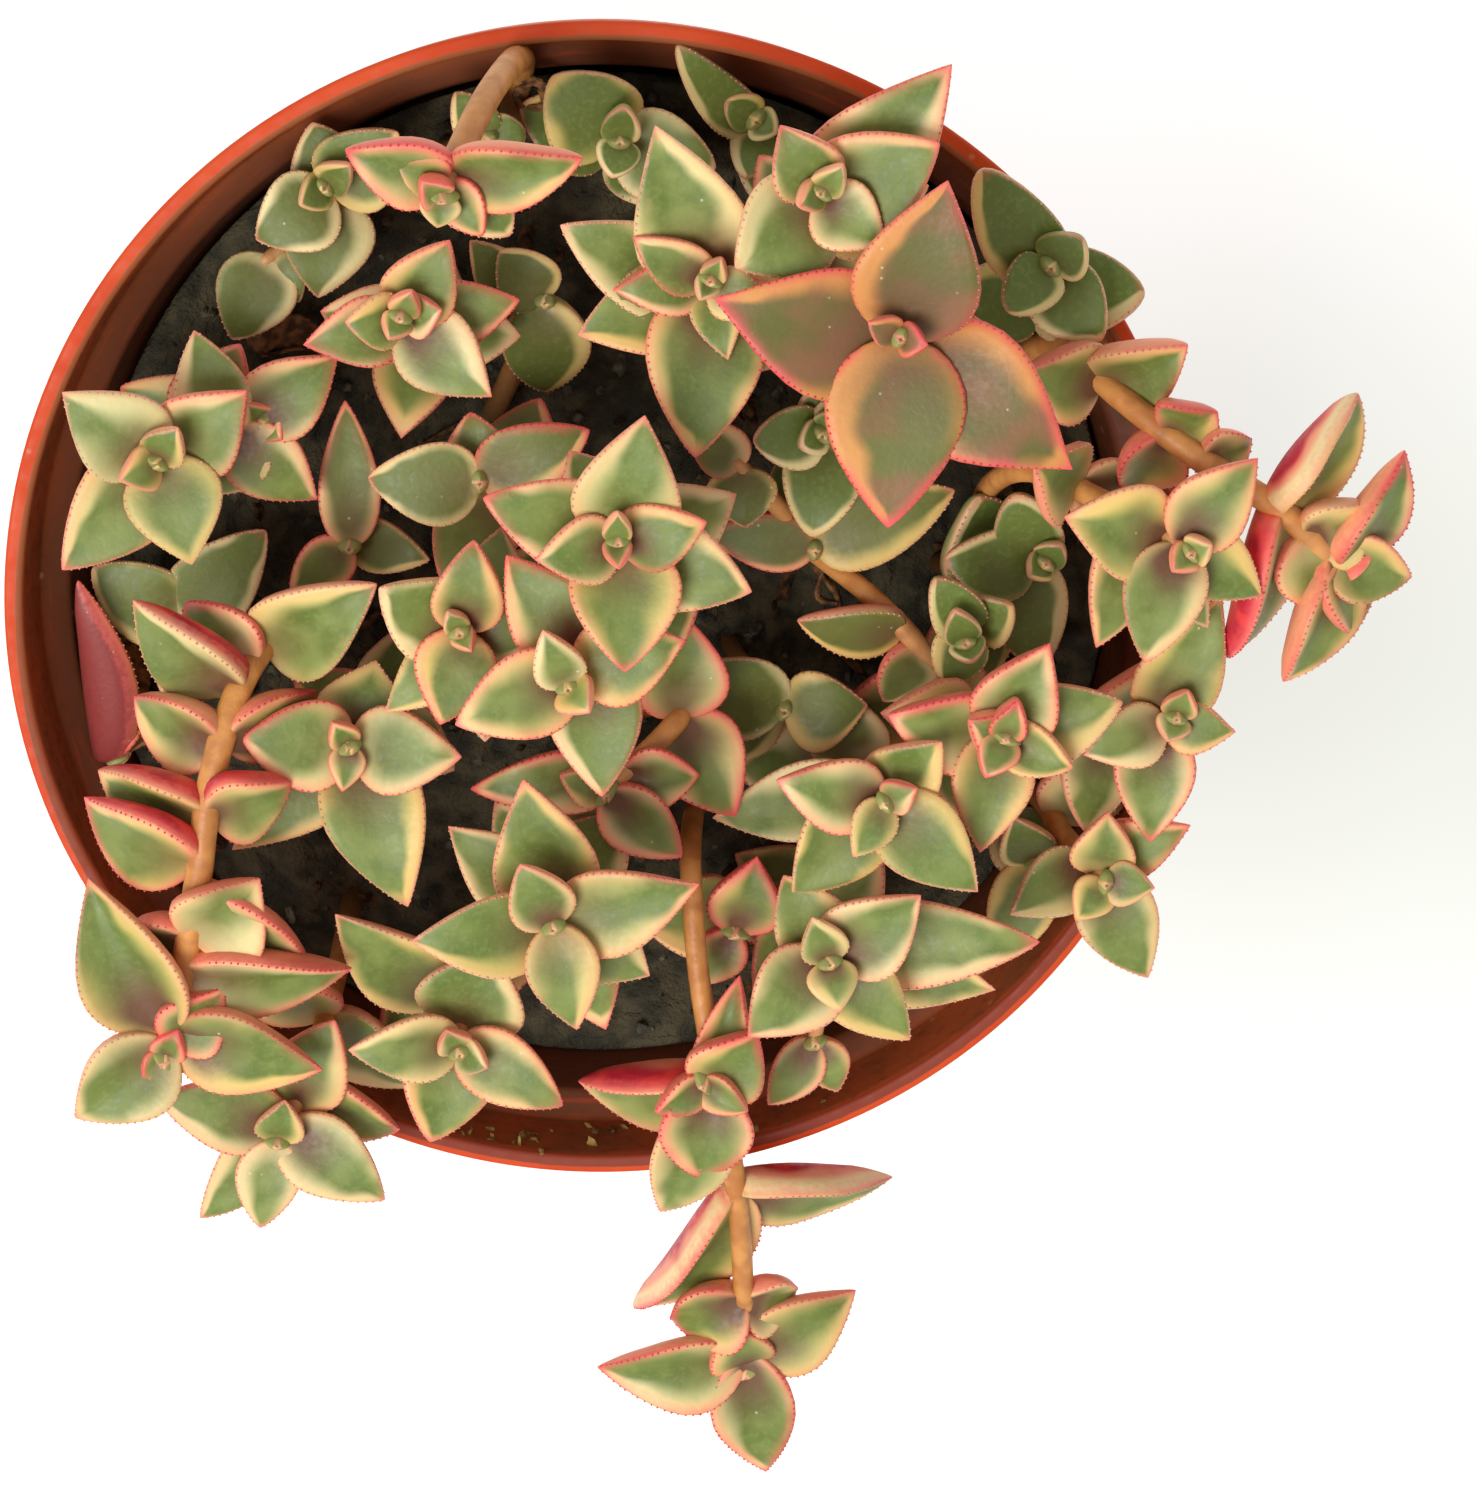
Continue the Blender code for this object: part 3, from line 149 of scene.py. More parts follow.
STEMS = (
    Stem("leafy_stem_crown", (6, 1), 1.05, "sage", 3, (
        Shoot(None, (), (618, 540, 32), UP, (
            (0, 618, 512, 3, 2.6), (0, 619, 569, 3, 2.6),
            (1.5, 535, 560, 1, 6.2), (1.5, 707, 522, 1, 6.2),
            (3, 645, 415, 1, 9.4), (3, 625, 672, 0, 9.6),
            (5.5, 483, 498, -2, 8.4), (5.5, 752, 592, -2, 8.4))),
        Shoot(22, ((600, 640, 22),), (568, 685, 26), UP, (
            (0, 543, 630, 3, 4.6), (0, 590, 713, 3, 4.2),
            (1.5, 455, 725, 1, 8.0), (1.5, 685, 640, 0, 8.0),
            (3.5, 602, 797, -1, 8.4), (3.5, 506, 555, -3, 8.0))),
    )),
    Stem("leafy_stem_crown_west", (-8, -5), 1.05, "sage", 3, (
        Shoot(None, (), (460, 630, 20), UP, (
            (0, 448, 612, 2, 2.4), (0, 472, 652, 2, 2.4),
            (1.5, 474, 540, 1, 6.4), (1.5, 440, 725, 0, 7.4),
            (3.5, 379, 588, 1, 8.2), (3.5, 540, 640, -3, 6.0),
            (6, 385, 712, -4, 6.0))),
    )),
    Stem("leafy_stem_north_tall", (10, 22), 1.05, "sage", 3, (
        Shoot(None, (), (710, 278, 24), UP, (
            (0, 722, 258, 2, 2.4), (0, 700, 300, 2, 2.4),
            (1.2, 633, 237, 1, 4.8), (1.2, 770, 310, 0, 4.8),
            (2.4, 612, 290, 0, 5.2), (2.4, 728, 360, 0, 4.6),
            (4, 655, 125, 1, 10.2), (4, 695, 458, -1, 10.2),
            (7, 560, 225, -3, 8.4), (7, 578, 335, -3, 8.4))),
    )),
    Stem("leafy_stem_north_east", (20, 26), 1.05, "sage", 3, (
        Shoot(None, (), (820, 190, 28), UP, (
            (0, 843, 165, 3, 3.0), (0, 799, 206, 3, 3.0),
            (1.5, 780, 125, 1, 6.4), (1.5, 885, 245, 0, 6.4),
            (3.2, 940, 143, 1, 9.4), (3.2, 735, 268, 0, 9.4),
            (8, 952, 64, -2, 10.2))),
    )),
    Stem("leafy_stem_old_rosette", (30, 17), 1.05, "old", 3, (
        Shoot(None, (), (900, 335, 30), UP, (
            (0, 868, 322, 2, 3.0), (0, 928, 345, 2, 3.2),
            (2.2, 948, 180, 2, 11.0), (2.2, 888, 528, -1, 12.0),
            (4.2, 713, 298, 0, 11.6), (4.2, 1073, 470, -1, 12.0))),
    )),
    Stem("leafy_stem_inner_north", (22, 10), 1.05, "green", 1, (
        Shoot(None, (), (822, 432, 6), UP, (
            (0, 848, 412, 2, 3.4), (0, 800, 447, 2, 3.4),
            (1.5, 753, 440, 0, 6.0), (1.5, 868, 396, -1, 5.0),
            (3.5, 812, 537, -1, 7.2), (3.5, 838, 366, -2, 6.0))),
    )),
    Stem("leafy_stem_north_west", (-22, 34), 1.05, "dark", 0, (
        Shoot(None, (), (325, 185, -2), UP, (
            (0, 350, 165, 3, 3.6), (0, 300, 205, 3, 3.6),
            (2, 398, 132, 1, 8.0), (2, 256, 240, -1, 7.6),
            (4, 318, 298, -2, 8.4), (4, 312, 122, -3, 7.0))),
        Shoot(7, (), (262, 262, -5), UP, (
            (1, 232, 340, 0, 7.4), (1, 300, 302, 0, 4.4))),
    )),
    Stem("leafy_stem_west", (-33, 14), 1.05, "sage", 2, (
        Shoot(None, ((190, 440, 4),), (157, 460, 12), UP, (
            (0, 178, 428, 3, 4.2), (0, 118, 480, 3, 4.2),
            (1.5, 62, 392, 1, 8.6), (1.5, 192, 565, 0, 8.8),
            (3.5, 247, 390, 0, 8.4), (3.5, 62, 570, -1, 8.8))),
        Shoot(6, (), (263, 420, 4), UP, (
            (0, 282, 440, 2, 3.2), (0, 246, 402, 2, 3.2),
            (1.5, 338, 355, 1, 7.4), (1.5, 217, 494, -1, 6.6),
            (3.5, 194, 330, 0, 6.8), (3.5, 318, 500, -1, 7.0))),
    )),
    Stem("leafy_stem_arching", (-8, 44), 1.25, "pink", 0, (
        Shoot(None, ((520, 56, -2), (480, 110, 14)), (442, 192, 22), (0.0, -0.35, 1.0), (
            (0, 437, 228, 0, 3.6), (0, 420, 180, 2, 3.4),
            (1.5, 483, 236, -1, 4.2), (1.5, 392, 158, 0, 5.0),
            (2.5, 583, 158, 2, 6.8), (2.5, 345, 150, 0, 6.6),
            (4, 510, 236, -4, 6.6))),
    )),
    Stem("leafy_stem_inner_west", (-16, 22), 1.05, "sage", 2, (
        Shoot(None, (), (400, 315, 12), UP, (
            (0, 412, 290, 2, 3.0), (0, 388, 340, 2, 3.0),
            (1.5, 345, 322, 1, 5.2), (1.5, 442, 310, 1, 4.4),
            (3, 450, 240, 0, 6.8), (3, 492, 397, -1, 7.6),
            (6, 520, 300, -4, 6.6), (6, 303, 345, -4, 6.4))),
    )),
    Stem("leafy_stem_inner_brown", (-10, 16), 1.05, "dark", 0, (
        Shoot(None, (), (545, 300, -2), UP, (
            (0, 545, 392, -5, 8.0), (0, 500, 250, 1, 6.0),
            (3, 470, 240, -1, 6.0))),
    )),
    Stem("leafy_stem_north", (1, 41), 1.05, "green", 1, (
        Shoot(None, (), (620, 140, 0), UP, (
            (0, 624, 107, 3, 3.6), (0, 612, 178, 2, 4.0),
            (2, 552, 76, 0, 9.2), (2, 716, 168, -1, 8.2))),
    )),
    Stem("leafy_stem_north_small", (-14, 41), 0.8, "green", 0, (
        Shoot(None, (), (487, 138, -4), UP, (
            (0, 455, 92, 1, 4.4), (0, 526, 132, 0, 4.4))),
    )),
    Stem("leafy_stem_north_low", (15, 40), 0.9, "green", 0, (
        Shoot(None, (), (755, 118, -4), UP, (
            (0, 727, 100, 2, 3.8), (0, 777, 134, 1, 3.4),
            (3, 677, 46, 4, 4.8), (3, 745, 178, 0, 4.4),
            (5, 768, 214, -1, 4.6))),
    )),
    Stem("leafy_stem_east_rim", (38, 22), 1.05, "green", 1, (
        Shoot(None, (), (1050, 265, 9), UP, (
            (0, 1083, 238, 2, 5.2), (0, 1007, 312, 2, 5.4),
            (2.5, 980, 170, 1, 7.2), (2.5, 1100, 340, 1, 7.0))),
    )),
    Stem("leafy_stem_east_trailing", (35, 17), 1.2, "pink", 0, (
        Shoot(None, ((1040, 332, 0), (1095, 375, 7), (1160, 430, 12), (1225, 475, 13), (1283, 512, 13)),
              (1350, 572, 11), (0.65, -0.25, 0.65), (
            (0, 1372, 552, 2, 3.4), (0, 1352, 600, 1, 3.4),
            (1.5, 1405, 450, 2, 7.0), (1.5, 1283, 682, -1, 7.0, 8),
            (3, 1412, 577, 0, 6.4), (3, 1350, 634, -2, 6.4),
            (6, 1370, 504, 2, 8.2), (6, 1316, 606, -1, 8.4),
            (9.5, 1358, 393, 2, 9.0, 32), (9.5, 1227, 658, -2, 9.0, -36),
            (18, 1252, 440, 0, 5.4),
            (22, 1218, 412, 2, 8.6), (22, 1122, 488, -3, 6.6),
            (30.5, 1188, 345, 2, 7.6), (30.5, 1020, 372, 1, 8.0))),
    )),
    Stem("leafy_stem_east", (35, 5), 1.05, "sage", 1, (
        Shoot(None, ((1010, 468, 2), (1110, 505, 12)), (1190, 550, 20), UP, (
            (0, 1172, 572, 2, 3.2), (0, 1212, 545, 2, 3.2),
            (1.5, 1258, 458, 1, 7.2), (1.5, 1145, 663, 0, 7.4),
            (3.2, 1064, 517, 1, 8.8), (3.2, 1262, 596, -3, 7.0),
            (7, 1096, 648, -5, 6.4), (7, 1208, 628, -7, 5.6))),
    )),
    Stem("leafy_stem_east_low", (32, 1), 1.05, "green", 1, (
        Shoot(None, (), (1045, 560, 0), UP, (
            (0, 1062, 545, 2, 3.2), (0, 1030, 577, 2, 3.2),
            (1.5, 945, 558, 1, 7.0), (1.5, 1012, 482, 0, 6.4),
            (3.5, 1040, 668, -1, 7.6))),
        Shoot(8, (), (965, 640, 8), UP, (
            (0, 955, 610, 3, 3.4), (0, 972, 662, 2, 3.4),
            (1.5, 935, 578, 1, 5.0), (1.5, 945, 684, -1, 5.2),
            (3, 1013, 606, 0, 5.6))),
    )),
    Stem("leafy_stem_south_east", (30, -12), 1.05, "pink", 3, (
        Shoot(None, (), (1005, 735, 18), UP, (
            (0, 985, 778, 2, 4.0), (0, 1018, 700, 3, 3.4),
            (1.2, 1073, 768, 1, 5.0), (1.2, 968, 720, 2, 4.6),
            (2.5, 1050, 643, 1, 8.0), (2.5, 980, 853, -1, 7.4),
            (4, 888, 715, 0, 7.8), (4, 1123, 702, -2, 8.0))),
    )),
    Stem("leafy_stem_south_east_rim", (39, -8), 1.05, "sage", 1, (
        Shoot(None, ((1120, 740, 5),), (1175, 715, 10), UP, (
            (0, 1168, 742, 2, 3.4), (0, 1188, 690, 2, 3.4),
            (1.5, 1083, 755, 1, 6.0), (1.5, 1236, 732, 0, 5.2),
            (3.2, 1222, 592, 1, 7.8), (3.2, 1150, 842, -1, 7.4))),
    )),
    Stem("leafy_stem_south_east_low", (37, -20), 1.05, "sage", 1, (
        Shoot(None, ((1080, 850, 3),), (1105, 880, 7), UP, (
            (0, 1155, 888, 1, 4.4), (0, 1075, 920, 1, 4.2),
            (1.5, 1108, 812, 1, 6.0), (1.5, 1148, 978, -1, 7.4),
            (3.5, 1010, 915, 0, 6.4), (3.5, 1191, 825, 0, 6.2))),
    )),
    Stem("leafy_stem_south_inner", (22, -18), 1.05, "sage", 3, (
        Shoot(None, (), (885, 800, 20), UP, (
            (0, 918, 788, 2, 3.6), (0, 853, 857, 1, 4.2),
            (1.5, 776, 780, 1, 7.2), (1.5, 978, 892, 0, 7.8),
            (3.5, 942, 742, 0, 7.2), (3.5, 792, 895, -3, 8.0),
            (16, 712, 818, -16, 7.4))),
    )),
    Stem("leafy_stem_south", (20, -31), 1.05, "sage", 2, (
        Shoot(None, (), (830, 960, 20), UP, (
            (0, 812, 917, 2, 4.4), (0, 840, 1012, 2, 4.6),
            (1.5, 921, 895, 1, 8.2), (1.5, 748, 1037, 0, 8.4),
            (4, 784, 878, -3, 7.0), (4, 910, 1040, -3, 7.2),
            (10, 1040, 942, -5, 8.6), (13, 996, 990, -9, 8.6))),
        Shoot(10, (), (815, 1040, 6), UP, (
            (0, 838, 1092, -1, 4.6), (0, 768, 1105, -1, 4.8))),
    )),
    Stem("leafy_stem_front_trailing", (9, -22), 1.0, "pink", 0, (
        Shoot(None, ((690, 850, 4), (702, 1000, 8), (733, 1165, 7), (742, 1260, 3)), (745, 1365, -3),
              (0.05, -0.45, 0.9), (
            (0, 726, 1327, 4, 6.4, 8),
            (1.5, 597, 1367, 1, 8.2, 12), (1.5, 856, 1290, 1, 8.2, -12),
            (2, 766, 1472, -3, 8.0),
            (4.5, 776, 1315, -2, 6.4), (4.5, 696, 1330, -2, 5.4),
            (9.5, 672, 1320, 1, 8.0, 14), (9.5, 797, 1290, 1, 7.0, -10),
            (23, 893, 1177, 2, 8.4, 22), (23, 633, 1306, -2, 8.0, -30),
            (35, 578, 1081, 11, 8.8, -18))),
        Shoot(27, (), (703, 1078, 13), (0.0, -0.25, 1.0), (
            (0, 655, 1112, 1, 3.6), (0, 748, 1112, 1, 3.6),
            (1.5, 757, 1032, 1, 7.6), (1.5, 702, 1178, -2, 8.6),
            (3, 660, 1212, -5, 7.4), (5, 740, 975, -2, 5.6))),
    )),
    Stem("leafy_stem_front_tall", (-4, -28), 1.05, "sage", 3, (
        Shoot(None, (), (553, 925, 26), UP, (
            (0, 520, 864, 2, 6.0), (0, 577, 1030, 0, 6.6),
            (2, 411, 941, 1, 7.8), (2, 700, 884, 1, 8.2),
            (6, 523, 779, -3, 9.4), (6, 650, 976, -5, 8.4),
            (9, 606, 1030, -9, 7.6), (13, 448, 826, -13, 7.6))),
    )),
    Stem("leafy_stem_front_west", (-14, -36), 1.05, "sage", 1, (
        Shoot(None, ((460, 1010, 8),), (460, 1050, 13), UP, (
            (0, 447, 1030, 2, 3.4), (0, 488, 1068, 2, 3.4),
            (1.5, 348, 1050, 1, 6.4), (1.5, 563, 1106, 0, 6.8),
            (3.5, 430, 1142, -2, 8.6), (3.5, 492, 948, -1, 10.2),
            (9, 335, 914, -3, 9.0, -20))),
    )),
    Stem("leafy_stem_south_west_rim", (-24, -32), 1.05, "sage", 1, (
        Shoot(None, ((320, 1040, 4), (290, 1110, 6)), (278, 1140, 9), UP, (
            (0, 285, 1100, 2, 4.6), (0, 260, 1228, -1, 6.0),
            (1.5, 157, 1098, 1, 7.4), (1.5, 385, 1200, 0, 7.6),
            (3.5, 335, 1020, 1, 7.6), (3.5, 200, 1218, -3, 6.4),
            (5.5, 400, 1130, -3, 6.6))),
    )),
    Stem("leafy_stem_west_trailing", (-26, -4), 1.25, "pink", 0, (
        Shoot(None, ((288, 618, 5), (238, 690, 13), (207, 800, 16), (198, 880, 16), (183, 970, 14)),
              (165, 1055, 13), (-0.1, -0.3, 1.0), (
            (0, 142, 1080, 1, 3.4), (0, 178, 1030, 2, 3.4),
            (1.5, 225, 987, 1, 6.6), (1.5, 75, 1118, 0, 8.8),
            (3, 88, 878, 2, 9.6), (3, 323, 1070, 0, 8.6),
            (9, 352, 968, -2, 7.6),
            (12.5, 260, 878, 3, 10.0), (12.5, 130, 925, -2, 6.0),
            (17, 310, 982, -3, 8.2), (20.5, 84, 797, 0, 10.2, -12),
            (25, 291, 782, 2, 8.8, 12), (25, 98, 770, -2, 8.4, -6),
            (31.5, 134, 697, -3, 7.8), (31.5, 318, 690, -4, 6.4),
            (37, 133, 600, 1, 8.4, -24), (39.5, 186, 602, -4, 8.4),
            (42, 377, 584, 3, 8.8))),
    )),
    Stem("leafy_stem_inner_south_west", (-20, -12), 1.05, "sage", 3, (
        Shoot(None, (), (350, 745, 14), UP, (
            (0, 332, 722, 2, 3.0), (0, 342, 792, 1, 3.4),
            (1.5, 243, 742, 1, 8.6), (1.5, 462, 757, 1, 8.2),
            (3.5, 408, 907, -1, 9.4), (3.5, 376, 660, -5, 8.4),
            (8, 232, 850, -7, 8.0))),
    )),
    Stem("leafy_stem_middle_north", (-7, 6), 1.05, "old", 1, (
        Shoot(None, (), (480, 480, 9), UP, (
            (0, 368, 478, 0, 7.6), (0, 590, 430, 1, 7.0),
            (2.5, 470, 412, -2, 6.6))),
    )),
    Stem("leafy_stem_middle_east", (18, 3), 1.05, "old", 0, (
        Shoot(None, (), (815, 548, 2), UP, (
            (0, 700, 532, 0, 5.4), (0, 955, 490, -1, 7.4))),
        Shoot(4, ((875, 600, 3),), (940, 668, 3), (0.3, -0.2, 1.0), (
            (5, 797, 620, 2, 7.0, -18), (3, 885, 702, -3, 6.0))),
        Shoot(4, ((770, 495, 4),), (735, 460, 5), (-0.2, 0.2, 1.0), (
            (1, 745, 528, 0, 6.4), (1, 690, 420, 0, 5.0))),
    )),
    Stem("leafy_stem_middle", (12, -7), 0.9, "dark", 0, (
        Shoot(None, (), (784, 708, -3), UP, (
            (0, 679, 668, 2, 8.0), (0, 868, 705, 1, 7.8),
            (3, 716, 764, -2, 6.4, -30))),
    )),
    Stem("leafy_stem_middle_south", (0, -14), 1.05, "pink", 1, (
        Shoot(None, ((690, 700, 2),), (606, 792, 8), UP, (
            (0, 682, 857, 0, 6.2), (0, 560, 775, 2, 4.0),
            (2.5, 470, 789, -1, 6.0), (2.5, 700, 775, -1, 6.0))),
    )),
    Stem("leafy_stem_south_low", (12, -30), 0.9, "pink", 1, (
        Shoot(None, (), (735, 930, 3), UP, (
            (0, 757, 856, 2, 7.0), (0, 700, 985, -1, 5.0))),
    )),
    Stem("leafy_stem_west_low", (-39, -12), 0.9, "red", 0, (
        Shoot(None, (), (113, 756, -8), (1.0, 0.2, 0.5), (
            (0, 78, 580, 7, 6.4, 54), (1, 150, 700, 1, 4.4))),
    )),
    Stem("leafy_stem_west_inner", (-37, 0), 0.9, "dark", 0, (
        Shoot(None, (), (182, 622, -6), UP, (
            (0, 92, 568, 1, 7.6), (0, 266, 530, 2, 7.8),
            (2.5, 240, 640, 0, 6.0), (2.5, 168, 705, 0, 5.4))),
    )),
    Stem("leafy_stem_brown", (-24, 8), 1.05, "old", 0, (
        Shoot(None, (), (350, 545, -1), UP, (
            (0, 345, 400, 0, 5.6), (0, 290, 590, 0, 5.0),
            (2.5, 430, 560, 0, 5.0))),
    )),
    Stem("leafy_stem_east_inner", (35, -22), 0.9, "dark", 1, (
        Shoot(None, (), (1035, 860, 0), UP, (
            (0, 1040, 800, 2, 5.4), (0, 1000, 960, -1, 6.4))),
    )),
)


def view_axes():
    """Right, up and toward-the-eye directions of the view."""
    toward = np.array([math.sin(VIEW_TURN) * math.sin(VIEW_TILT),
                       math.cos(VIEW_TURN) * math.sin(VIEW_TILT),
                       math.cos(VIEW_TILT)])
    up = np.array([0.0, 1.0, 0.0]) - toward[1] * toward
    up /= np.linalg.norm(up)
    return np.cross(up, toward), up, toward


def view_eye():
    """The point that the view is seen from."""
    return np.array([VIEW_AIM[0], VIEW_AIM[1], RIM_HEIGHT]) + view_axes()[2] * VIEW_DISTANCE


def spot(across, down, height):
    """The point, in metres, that the view shows at (across, down), height mm above the rim."""
    right, up, toward = view_axes()
    eye = view_eye()
    scale = 1.0 / (VIEW_UNITS_PER_METRE * VIEW_DISTANCE)
    ray = (-toward + right * (across - VIEW_MIDDLE[0]) * scale
           - up * (down - VIEW_MIDDLE[1]) * scale)
    reach = (RIM_HEIGHT + height * MM - eye[2]) / ray[2]
    return eye + ray * reach


def distances(points):
    """How far along the line through these points each of them is."""
    return np.concatenate([[0.0], np.cumsum(np.linalg.norm(np.diff(points, axis=0), axis=1))])


def turn_angles(count):
    """This many angles, evenly spaced round a full turn."""
    return np.arange(count) * 2.0 * math.pi / count


def smooth_route(points, step):
    """A Catmull-Rom curve through the points, cut into equal steps."""
    pts = [2 * points[0] - points[1]] + list(points) + [2 * points[-1] - points[-2]]
    fine = []
    for before, start, end, after in zip(pts, pts[1:], pts[2:], pts[3:]):
        for t in np.linspace(0.0, 1.0, CURVE_SAMPLES, endpoint=False):
            fine.append(0.5 * (2 * start + (end - before) * t
                               + (2 * before - 5 * start + 4 * end - after) * t ** 2
                               + (3 * start - before - 3 * end + after) * t ** 3))
    fine.append(points[-1])
    fine = np.array(fine)
    lengths = distances(fine)
    count = max(3, int(math.ceil(lengths[-1] / step)) + 1)
    wanted = np.linspace(0.0, lengths[-1], count)
    return np.stack([np.interp(wanted, lengths, fine[:, axis]) for axis in range(3)], axis=1)


def point_below_tip(route, distance):
    """The point on a stem this far back from its tip, and the stem's direction there."""
    back = route[::-1]
    lengths = distances(back)
    distance = min(distance, lengths[-1])
    here = np.array([np.interp(distance, lengths, back[:, axis]) for axis in range(3)])
    span = min(distance + DIRECTION_SPAN, lengths[-1])
    lower = np.array([np.interp(span, lengths, back[:, axis]) for axis in range(3)])
    run = here - lower
    size = np.linalg.norm(run)
    return here, (run / size if size > 0 else np.array(UP))


def unit(vector):
    """The vector made one long."""
    return vector / max(np.linalg.norm(vector), 1e-12)


def ring_frame(direction):
    """Two directions across a stem that runs along this one."""
    helper = np.array([0.0, 1.0, 0.0]) if abs(direction[1]) < 0.9 else np.array([1.0, 0.0, 0.0])
    first = unit(np.cross(helper, direction))
    return first, np.cross(direction, first)


def tube(route, radius, sides):
    """Points and triangles of a closed tube along the route."""
    count = len(route)
    along = np.gradient(route, axis=0)
    angles = turn_angles(sides)
    points = []
    for place, direction in zip(route, along):
        first, second = ring_frame(unit(direction))
        ring = np.outer(np.cos(angles), first) + np.outer(np.sin(angles), second)
        points.append(place + radius * ring)
    points = np.concatenate(points)
    faces = []
    for ring in range(count - 1):
        for side in range(sides):
            low, low_next = ring * sides + side, ring * sides + (side + 1) % sides
            high, high_next = low + sides, low_next + sides
            faces += [(low, low_next, high_next), (low, high_next, high)]
    for side in range(1, sides - 1):
        faces.append((0, side + 1, side))
        top = (count - 1) * sides
        faces.append((top, top + side, top + side + 1))
    return points, faces


def half_width(station):
    """A leaf's half width at this share of its length: broad near the base, pointed at the end."""
    swell = math.sin(math.pi * station ** LEAF_WIDEST) ** LEAF_ROUNDNESS if 0.0 < station < 1.0 else 0.0
    return swell + LEAF_BASE_WIDTH * (1.0 - station) ** 4


def leaf_depth(length, station):
    """How deep a leaf's keel is: thinner on a small leaf, and towards both ends."""
    size = min(1.0, 0.45 + 0.55 * length / FULL_THICKNESS_LENGTH)
    return LEAF_THICKNESS * size * (0.55 + 0.45 * math.sin(math.pi * min(1.0, station + 0.15)))


def leaf_solid(leaf, grow=0.0, start=0.0):
    """Points and triangles of a leaf: a shallow keeled boat with a diamond section, pointed at both ends.

    Its inner end is sunk just past the stem's axis. With start above 0 only the outer part is made.
    """
    base, tip, normal, width = leaf["base"], leaf["tip"], leaf["normal"], leaf["width"]
    length = np.linalg.norm(tip - base)
    along = unit(tip - base)
    side = unit(np.cross(along, normal))
    face = np.cross(side, along)
    stations = SMALL_LEAF_STATIONS if length < SMALL_LEAF or leaf["plain"] else LEAF_STATIONS
    points = [base + along * (start * length - ROOT_SUNK)]
    for station in stations:
        station = start + (1.0 - start) * station
        half = 0.5 * width * half_width(station) + grow
        arch = face * (LEAF_BOW * length * math.sin(math.pi * station))
        middle = base + along * (length * station) + arch
        depth = leaf_depth(length, station)
        rise = EDGE_RISE * half
        points += [middle - side * half + face * rise, middle + face * (LEAF_DISH * depth + grow),
                   middle + side * half + face * rise, middle - face * (depth + grow)]
    points.append(tip + along * grow)
    faces = [(0, 1 + corner, 1 + (corner + 1) % 4) for corner in range(4)]
    for row in range(len(stations) - 1):
        for corner in range(4):
            near, near_next = 1 + row * 4 + corner, 1 + row * 4 + (corner + 1) % 4
            faces += [(near, near + 4, near_next + 4), (near, near_next + 4, near_next)]
    last = 1 + (len(stations) - 1) * 4
    end = len(points) - 1
    for corner in range(4):
        faces.append((last + corner, end, last + (corner + 1) % 4))
    return np.array(points), faces


def tree_of(solid):
    """A tree of the solid's triangles, to test others against."""
    points, faces = solid
    return BVHTree.FromPolygons([tuple(point) for point in points], faces)


class Occupied:
    """What a new leaf is tested against: a box and a tree for each solid, and the node it belongs to."""

    def __init__(self):
        """Starts with nothing taken."""
        self.owners = []
        self.lows = []
        self.highs = []
        self.trees = []

    def add(self, owner, solid):
        """Takes up the room of a solid for its owner."""
        points = solid[0]
        self.owners.append(owner)
        self.lows.append(points.min(axis=0))
        self.highs.append(points.max(axis=0))
        self.trees.append(tree_of(solid))

    def hits(self, owner, solid, same_owner):
        """True where the solid meets one of another owner, or with same_owner one of its own."""
        if not self.owners:
            return False
        low, high = solid[0].min(axis=0), solid[0].max(axis=0)
        near = np.all(np.array(self.lows) <= high, axis=1) & np.all(np.array(self.highs) >= low, axis=1)
        own = np.array([other == owner for other in self.owners])
        near &= own if same_owner else ~own
        if not near.any():
            return False
        tree = tree_of(solid)
        return any(tree.overlap(self.trees[index]) for index in np.flatnonzero(near))


def first_route(stem):
    """The first shoot's stem: straight out of its hole, then through its points to the tip."""
    soil = RIM_HEIGHT - SOIL_BELOW_RIM
    x, y = stem.root[0] * MM, stem.root[1] * MM
    shoot = stem.shoots[0]
    points = [np.array([x, y, soil - HOLE_DEPTH + CLEARANCE]),
              np.array([x, y, soil + STRAIGHT_ABOVE_SOIL])]
    points += [spot(*place) for place in shoot.through]
    points.append(spot(*shoot.tip))
    return smooth_route(points, STEM_STEP)


def all_routes():
    """Every shoot's stem, keyed by (stem number, shoot number)."""
    routes = {}
    for number, stem in enumerate(STEMS):
        routes[number, 0] = first_route(stem)
    spread_stems(routes)
    for number, stem in enumerate(STEMS):
        for order, shoot in enumerate(stem.shoots[1:], start=1):
            start, _ = point_below_tip(routes[number, 0], shoot.forks_at * MM)
            points = [start] + [spot(*place) for place in shoot.through] + [spot(*shoot.tip)]
            routes[number, order] = smooth_route(points, STEM_STEP)
    return routes


def spread_stems(routes):
    """Bends the hidden middles of the stems apart, with roots and tips held where they are."""
    keys = list(routes)
    for _ in range(SPREAD_ROUNDS):
        moved = False
        for first, second in ((a, b) for a in keys for b in keys if a < b):
            one, two = routes[first], routes[second]
            room = (STEMS[first[0]].radius + STEMS[second[0]].radius) * MM + STEM_GAP + SPREAD_MARGIN
            apart = one[:, None, :] - two[None, :, :]
            distance = np.linalg.norm(apart, axis=2)
            for i, j in zip(*np.nonzero(distance < room)):
                level = apart[i, j] * np.array([1.0, 1.0, 0.0])
                push = unit(level) * (room - distance[i, j]) * SPREAD_SHARE
                if 1 < i < len(one) - 2:
                    one[i] += push
                    moved = True
                if 1 < j < len(two) - 2:
                    two[j] -= push
                    moved = True
        if not moved:
            break


